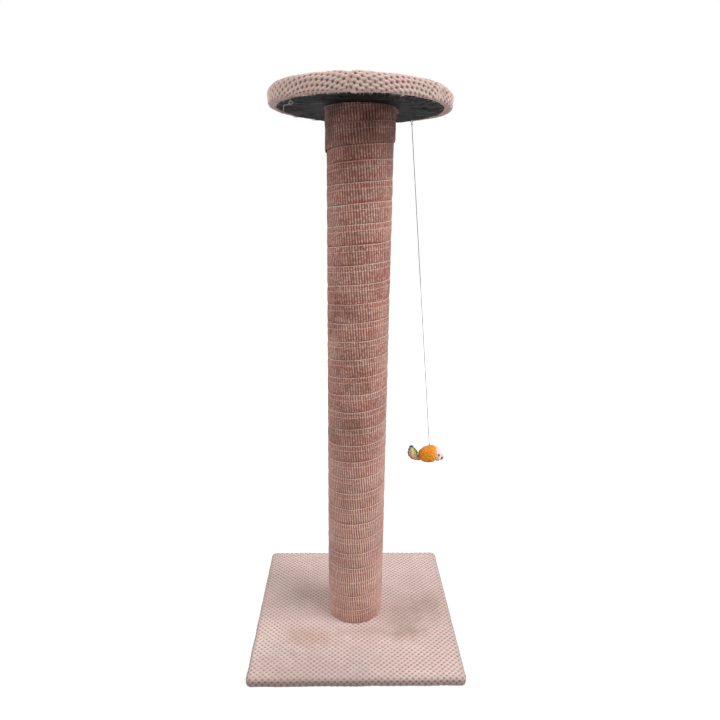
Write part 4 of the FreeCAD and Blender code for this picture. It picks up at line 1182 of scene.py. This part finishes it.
def make_toy_body():
    """Orange plush body: a plump form with short fur, brown at its rear end and salmon below."""
    start = BODY_LOW[0]
    belly = [(0, 0, -3.5), (0, 6.0, -3.5), (1.5, 8.8, -3.2), (6, 12.2, -2.6), (11, 15.0, -2.2),
             (18, 17.3, -1.6), (25, 18.2, -0.8), (30, 17.9, -0.2), (34, 16.0, 0.2),
             (36.5, 11.0, 0.4), (37, 0, 0.4)]
    surface = turned_form(belly, 56, 72, 0.5, 81) + (start, TOY_AXIS[1], TOY_AXIS[2])
    points, faces, tint = furry(surface, 2.1, 3.2, 83, lean=(-0.25, 0, -0.1))
    mesh = new_mesh("toy_body_plush", points, faces, painted={"tint": tint})
    finish = Finish("orange_plush", Roughness=0.9, Sheen_Weight=0.2, Specular_IOR_Level=0.15)
    where = finish.place()
    clumps = finish.step(finish.noise(where, 190.0, 2.0), 0.42, 0.68)
    paint = finish.mix(clumps * 0.4, colour(255, 178, 40), colour(255, 146, 30))
    paint = finish.mix(finish.painted("tint") * 0.4, paint, colour(255, 206, 112))
    x, _, z = finish.split(where)
    rear = 1 - finish.step(x, (start + 2) * MM, (start + 15) * MM)
    low = 1 - finish.step(z, (TOY_AXIS[2] - 17) * MM, (TOY_AXIS[2] - 6) * MM)
    brown = (1 - finish.step(x, (start - 1) * MM, (start + 5) * MM)) * 0.6
    paint = finish.mix(finish.math("MAXIMUM", rear * low, low * 0.35), paint,
                       colour(244, 150, 104))
    paint = finish.mix(brown, paint, colour(176, 112, 52))
    body = piece_of("toy_body_plush", mesh, "toy",
                    finish.finished(paint, clumps, reach=0.0005), ["toy_body"])
    return body


def make_toy_head():
    """Pale plush head: a cone that droops to the snout, rosy round the eyes."""
    end = BODY_HIGH[0]
    face_line = [(-5, 0, 0.5), (-5, 11, 0.5), (-2, 14.6, 0.4), (2, 15.4, 0), (6, 14.2, -1.4),
                 (9.5, 11.4, -3.6), (12.5, 8.6, -5.6), (15, 6.0, -7.0), (17, 3.6, -7.8),
                 (18.2, 1.8, -8.2), (18.4, 0, -8.2)]
    surface = turned_form(face_line, 46, 60, 0.3, 91) + (end, TOY_AXIS[1], TOY_AXIS[2])
    points, faces, tint = furry(surface, 1.4, 3.4, 93, lean=(-0.2, 0, 0))
    finish = Finish("pale_plush", Roughness=0.9, Sheen_Weight=0.2, Specular_IOR_Level=0.15)
    where = finish.place()
    x, _, z = finish.split(where)
    snout = finish.step(x, (end + 12) * MM, (end + 18) * MM)
    under = 1 - finish.step(z, (TOY_AXIS[2] - 15) * MM, (TOY_AXIS[2] - 7) * MM)
    shade = finish.math("MAXIMUM", snout * 0.7, under)
    paint = finish.mix(finish.painted("tint") * 0.6, colour(252, 224, 216), colour(255, 244, 240))
    paint = finish.mix(shade * 0.6, paint, colour(206, 192, 190))
    eye_x = (x - (end + EYE_ALONG) * MM) / 0.0030
    eye_z = (z - (TOY_AXIS[2] + 1.4) * MM) / 0.0038
    eye = 1 - finish.step(finish.math("SQRT", eye_x * eye_x + eye_z * eye_z), 0.35, 1.15)
    paint = finish.mix(eye * 0.85, paint, colour(142, 96, 96))
    mesh = new_mesh("toy_head_plush", points, faces, painted={"tint": tint})
    head = piece_of("toy_head_plush", mesh, "toy", finish.finished(paint),
                    ["toy_head"])
    return head


def make_toy_beads():
    """Glossy beads: a large one on the snout's near side, a small one for each eye."""
    end = BODY_HIGH[0]
    bead_line = [(-2.6, 0, 0), (-2.2, 1.7, 0), (-1.0, 2.6, 0), (0.6, 2.8, 0), (1.9, 2.0, 0),
                 (2.5, 0.9, 0), (2.7, 0, 0)]
    bead = turned_form(bead_line, 20, 28, 0, 97).reshape(-1, 3)
    faces = grid_faces(20, 28, around=True)
    material = bead_finish()
    points = bead * 1.1 + (end + 12.8, TOY_AXIS[1] - 8.6, TOY_AXIS[2] - 6.6)
    nose = piece_of("toy_snout_bead", new_mesh("toy_snout_bead", points, faces), "toy",
                    material, ["toy_nose"])
    pair = [bead * 0.36 + (end + EYE_ALONG, TOY_AXIS[1] + side * 14.0, TOY_AXIS[2] + 2.0)
            for side in (-1, 1)]
    points, faces, _ = joined([(eye, faces, eye[:, 0]) for eye in pair])
    eyes = piece_of("toy_eye_beads", new_mesh("toy_eye_beads", points, faces), "toy",
                    material, ["toy_eyes"])
    return nose, eyes


def make_tail():
    """Curled cloth tail: a leaf of strands along a bent spine.

    The spine runs from low on the body's rear, back and up to the tip; at each place the
    section is an ellipse of given half height and half thickness, with grooves.
    """
    stations = np.array(TAIL_STATIONS) + (TAIL_ROOT + (0, 0))
    rows, columns = 64, 52
    along = np.r_[0, np.cumsum(np.hypot(*np.diff(stations[:, :2], axis=0).T))]
    share = np.linspace(0, 1, rows)[:, None]
    line = np.stack([np.interp(share[:, 0] * along[-1], along, column)
                     for column in stations.T], -1)
    for _ in range(10):
        line[1:-1] = (line[:-2] + 2 * line[1:-1] + line[2:]) / 4
    line[:, 2] *= 1.15
    line[[0, -1], 2:] = 0
    spine = np.stack([line[:, 0], np.full(rows, TOY_AXIS[1]), line[:, 1]], -1)
    course = np.gradient(spine, axis=0)
    course /= np.linalg.norm(course, axis=1)[:, None]
    sideways = np.array([0.0, 1.0, 0.0])
    rising = np.cross(course, sideways)
    angle = np.arange(columns) * TURN / columns
    strands = 1 - 0.12 * np.abs(np.sin(angle * 4.5 + share * 5)) ** 3
    strands = strands + 0.05 * np.sin(share * 40 + angle * 3)
    tall = line[:, 2:3] * np.cos(angle) * strands
    thick = line[:, 3:4] * np.sin(angle) * strands
    surface = spine[:, None] + rising[:, None] * tall[..., None] + sideways * thick[..., None]
    inner_side = np.cos(angle) * np.sign(rising[rows // 2, 0]) + 0 * share
    points, faces, values = furry_tail(surface, inner_side, share)
    finish = Finish("tail_cloth", Roughness=0.9, Sheen_Weight=0.15)
    where = finish.place()
    level = finish.painted("across") + (finish.noise(where, 260.0, 2.0) - 0.5) * 0.6
    length = finish.painted("length") + (finish.noise(where, 200.0, 2.0) - 0.5) * 0.15
    outer = finish.mix(finish.step(length, 0.45, 0.75), colour(150, 98, 104), colour(136, 152, 94))
    paint = finish.mix(finish.step(level, -0.95, -0.45), outer, colour(234, 188, 164))
    paint = finish.mix(finish.step(level, -0.45, 0.05) * finish.step(length, 0.25, 0.5), paint,
                       colour(236, 222, 152))
    paint = finish.mix(finish.step(level, 0.4, 0.75) * finish.step(length, 0.3, 0.45), paint,
                       colour(126, 156, 70))
    paint = finish.mix(finish.step(length, 0.86, 0.96), paint, colour(84, 94, 78))
    mesh = new_mesh("toy_tail_cloth", points, faces,
                    painted={"across": values[:, 0], "length": values[:, 1]})
    streaks = finish.noise(finish.stretched(where, 1.0, 3.0, 1.0), 500.0, 2.0)
    return piece_of("toy_tail_cloth", mesh, "toy",
                    finish.finished(paint, streaks, reach=0.0006), ["toy_tail"])


def furry_tail(surface, across, share):
    """The tail's skin with loose threads that lie back along it; keeps two numbers per point."""
    rows, columns = surface.shape[:2]
    faces = grid_faces(rows, columns, around=True)
    points = surface.reshape(-1, 3)
    values = np.stack([across, share + 0 * across], -1).reshape(-1, 2)
    draw = np.random.default_rng(95)
    chosen = draw.integers(columns, len(points) - columns, 900)
    middle = surface.mean(axis=1, keepdims=True)
    outward = (surface - middle).reshape(-1, 3)[chosen]
    outward /= np.maximum(np.linalg.norm(outward, axis=1), 1e-9)[:, None]
    course = np.gradient(middle[:, 0], axis=0)
    course = np.repeat(course / np.linalg.norm(course, axis=1)[:, None], columns, axis=0)[chosen]
    ways = outward * 0.5 + course * 0.9 + draw.normal(0, 0.2, (len(chosen), 3))
    threads, thread_faces, _ = blades(points[chosen], ways, 2.2, 0.5, 0.8, 96)
    return joined([(points, faces, values),
                   (threads, thread_faces, np.repeat(values[chosen], 6, axis=0))])


# ---- Finishes of the CAD's own pieces -----------------------------------------------------------

def wood_finish(name, light, dark, rings):
    """Wood: long grain along X with growth bands."""
    finish = Finish(name, Roughness=0.6)
    where = finish.place()
    grain = finish.noise(finish.stretched(where, 1.0, 14.0, 14.0), rings, 4.0, 0.6)
    pores = finish.noise(finish.stretched(where, 3.0, 60.0, 60.0), 40.0, 2.0)
    paint = finish.mix(finish.step(grain, 0.35, 0.65), light, dark)
    paint = finish.mix(finish.step(pores, 0.55, 0.75) * 0.3, paint, dark)
    return finish.finished(paint, grain * 0.5 + pores, reach=0.0003)


def board_finish():
    """Pressed chip board: small flakes of several browns."""
    finish = Finish("pressed_board", Roughness=0.75)
    where = finish.place()
    flakes = finish.node("ShaderNodeTexVoronoi", {"Vector": where, "Scale": 420.0})
    shade = Field(finish, flakes.outputs["Distance"])
    mottle = finish.noise(where, 130.0, 4.0)
    paint = finish.mix(finish.step(mottle, 0.35, 0.65), colour(196, 160, 112),
                       colour(156, 118, 76))
    paint = finish.mix(finish.step(shade, 0.3, 0.7) * 0.5, paint, colour(220, 190, 146))
    return finish.finished(paint, shade, reach=0.0003)


def cardboard_finish():
    """Spiral-wound grey-brown cardboard with a faint seam every 60 mm."""
    finish = Finish("cardboard", Roughness=0.9)
    where = finish.place()
    _, _, z = finish.split(where)
    fibres = finish.noise(finish.stretched(where, 4.0, 4.0, 1.0), 260.0, 4.0, 0.65)
    band = finish.math("ABSOLUTE", finish.math("SINE", z * (math.pi / 0.060)))
    seam = 1 - finish.step(band, 0.0, 0.06)
    paint = finish.mix(finish.step(fibres, 0.3, 0.7), colour(176, 142, 104),
                       colour(150, 118, 84))
    paint = finish.mix(seam * 0.6, paint, colour(112, 84, 58))
    return finish.finished(paint, fibres, reach=0.0003)


def metal_finish(name, bright, dull, roughness):
    """Plated or bare steel with faint mottling and fine scratches."""
    finish = Finish(name, Metallic=1.0)
    where = finish.place()
    mottle = finish.noise(where, 320.0, 3.0)
    scratches = finish.noise(finish.stretched(where, 1.0, 1.0, 9.0), 900.0, 2.0)
    paint = finish.mix(finish.step(mottle, 0.3, 0.7), bright, dull)
    polish = roughness + 0.18 * scratches
    return finish.finished(paint, scratches, reach=0.0001, strength=0.4, roughness=polish)


def bead_finish():
    """Glossy black beads with faint dust."""
    finish = Finish("black_bead", Coat_Weight=0.6, Coat_Roughness=0.08)
    where = finish.place()
    dust = finish.noise(where, 900.0, 3.0)
    paint = finish.mix(finish.step(dust, 0.55, 0.8) * 0.3, colour(18, 15, 15), colour(60, 52, 50))
    return finish.finished(paint, roughness=0.16 + 0.2 * dust)


def dress_cad_pieces():
    """Gives each CAD piece that stays its finish."""
    pine = wood_finish("pine", colour(226, 192, 140), colour(196, 152, 98), 60.0)
    board = board_finish()
    zinc = metal_finish("zinc_plate", colour(196, 196, 190), colour(166, 168, 164), 0.28)
    steel = metal_finish("nail_steel", colour(150, 150, 152), colour(112, 112, 116), 0.36)
    staple = metal_finish("staple_wire", colour(190, 186, 178), colour(150, 146, 140), 0.30)
    finishes = {
        "base_board": board, "platform_board": board, "post_tube": cardboard_finish(),
        "bottom_plug": pine, "top_plug": pine, "bottom_plug_nails": steel,
        "top_plug_nails": steel, "base_bolt": zinc, "base_washer": zinc, "base_tee_nut": zinc,
        "post_top_tee_nut": zinc, "platform_tee_nut": zinc, "platform_stud": zinc,
        "base_staples": staple, "platform_staples": staple, "tape_staples": staple,
        "toy_anchor_staple": staple, "spare_anchor_staple": staple,
    }
    for node, material in finishes.items():
        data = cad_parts[node].data
        if data.materials:
            data.materials[0] = material
        else:
            data.materials.append(material)


# ---- Floor, light and surroundings --------------------------------------------------------------

SKY_LEVEL = 0.50
FLOOR_HALF = 6.0              # metres
FLOOR_SHADE = 0.50
FLOOR_WHITE = 1.20
SHADOW_SHARE = 0.22           # how much of the floor's own shading shows
SHADOW_FADE = (0.35, 1.1)     # metres from the middle: shadow full, shadow gone
WHITE = (1, 1, 1, 1)
LAMPS = (                     # name, strength, direction it comes from, spread in degrees
    ("key", 2.75, (1.0, -0.36, 0.75), 50),
    ("fill", 1.2, (-1.0, -0.2, 0.65), 60),
)


def joined_fields(tree, operation, first, second):
    """One scalar operation on two sockets."""
    return add_node(tree, "ShaderNodeMath", {0: first, 1: second}, operation=operation).outputs[0]


def plain_view_share(tree):
    """1 for rays from the camera or seen in gloss or through glass, else 0."""
    rays = add_node(tree, "ShaderNodeLightPath").outputs
    seen = joined_fields(tree, "MAXIMUM", rays["Is Camera Ray"], rays["Is Glossy Ray"])
    return joined_fields(tree, "MAXIMUM", seen, rays["Is Transmission Ray"])


def mixed_shader(tree, share, first, second, output):
    """Ends a tree in a mix of two shaders."""
    both = add_node(tree, "ShaderNodeMixShader",
                    {0: share, 1: first.outputs[0], 2: second.outputs[0]})
    add_node(tree, output, {"Surface": both.outputs[0]})


def make_sky():
    """Even soft light all round that looks plain white to the camera."""
    world = bpy.data.worlds.new("studio")
    bpy.context.scene.world = world
    world.use_nodes = True
    tree = world.node_tree
    tree.nodes.clear()
    lit = add_node(tree, "ShaderNodeBackground", {"Strength": SKY_LEVEL, "Color": WHITE})
    seen = add_node(tree, "ShaderNodeBackground", {"Strength": 1.0, "Color": WHITE})
    mixed_shader(tree, plain_view_share(tree), lit, seen, "ShaderNodeOutputWorld")


def make_floor():
    """A pale floor: it keeps a faint shadow near the base and is plain white further off."""
    material = bpy.data.materials.new("studio_floor")
    material.use_nodes = True
    tree = material.node_tree
    tree.nodes.clear()
    paper = add_node(tree, "ShaderNodeBsdfDiffuse",
                     {"Color": (FLOOR_SHADE, FLOOR_SHADE, FLOOR_SHADE, 1)})
    white = add_node(tree, "ShaderNodeEmission", {"Strength": FLOOR_WHITE})
    place = add_node(tree, "ShaderNodeTexCoord").outputs["Object"]
    away = add_node(tree, "ShaderNodeVectorMath", {0: place}, operation="LENGTH")
    fade = add_node(tree, "ShaderNodeMapRange",
                    {0: away.outputs["Value"], 1: SHADOW_FADE[0], 2: SHADOW_FADE[1],
                     3: 1 - SHADOW_SHARE, 4: 1.0}, interpolation_type="SMOOTHSTEP")
    shown = joined_fields(tree, "MULTIPLY", plain_view_share(tree), fade.outputs[0])
    mixed_shader(tree, shown, paper, white, "ShaderNodeOutputMaterial")

    corners = [(x * FLOOR_HALF, y * FLOOR_HALF, 0) for x, y in ((-1, -1), (1, -1), (1, 1), (-1, 1))]
    mesh = bpy.data.meshes.new("floor")
    mesh.from_pydata(corners, [], [(0, 1, 2, 3)])
    mesh.materials.append(material)
    floor = bpy.data.objects.new("floor", mesh)
    bpy.context.scene.collection.objects.link(floor)


def make_lamps():
    """Two broad suns, a key from the right and a fill from the left."""
    for name, strength, towards, spread in LAMPS:
        data = bpy.data.lights.new(name, "SUN")
        data.energy = strength
        data.angle = math.radians(spread)
        lamp = bpy.data.objects.new(name, data)
        lamp.rotation_euler = Vector(towards).to_track_quat("Z", "Y").to_euler()
        bpy.context.scene.collection.objects.link(lamp)


# ---- Build --------------------------------------------------------------------------------------
# ---- Build --------------------------------------------------------------------------------------

make_camera()
string, toy_knot, knot, string_length, string_top = make_string()
make_base_cover()
make_base_felt()
make_tape()
make_tape_frays()
make_platform_cover()
make_hem_fringe()
make_black_cloth()
make_foam_pad()
toy_pieces = [make_toy_body(), make_toy_head(), *make_toy_beads(), make_tail()]
dress_cad_pieces()
make_sky()
make_floor()
make_lamps()
bpy.context.scene.view_settings.view_transform = "Standard"

string_top * MM
string_length * MM
UPPER_KNOT * MM
[knot, toy_knot] + toy_pieces
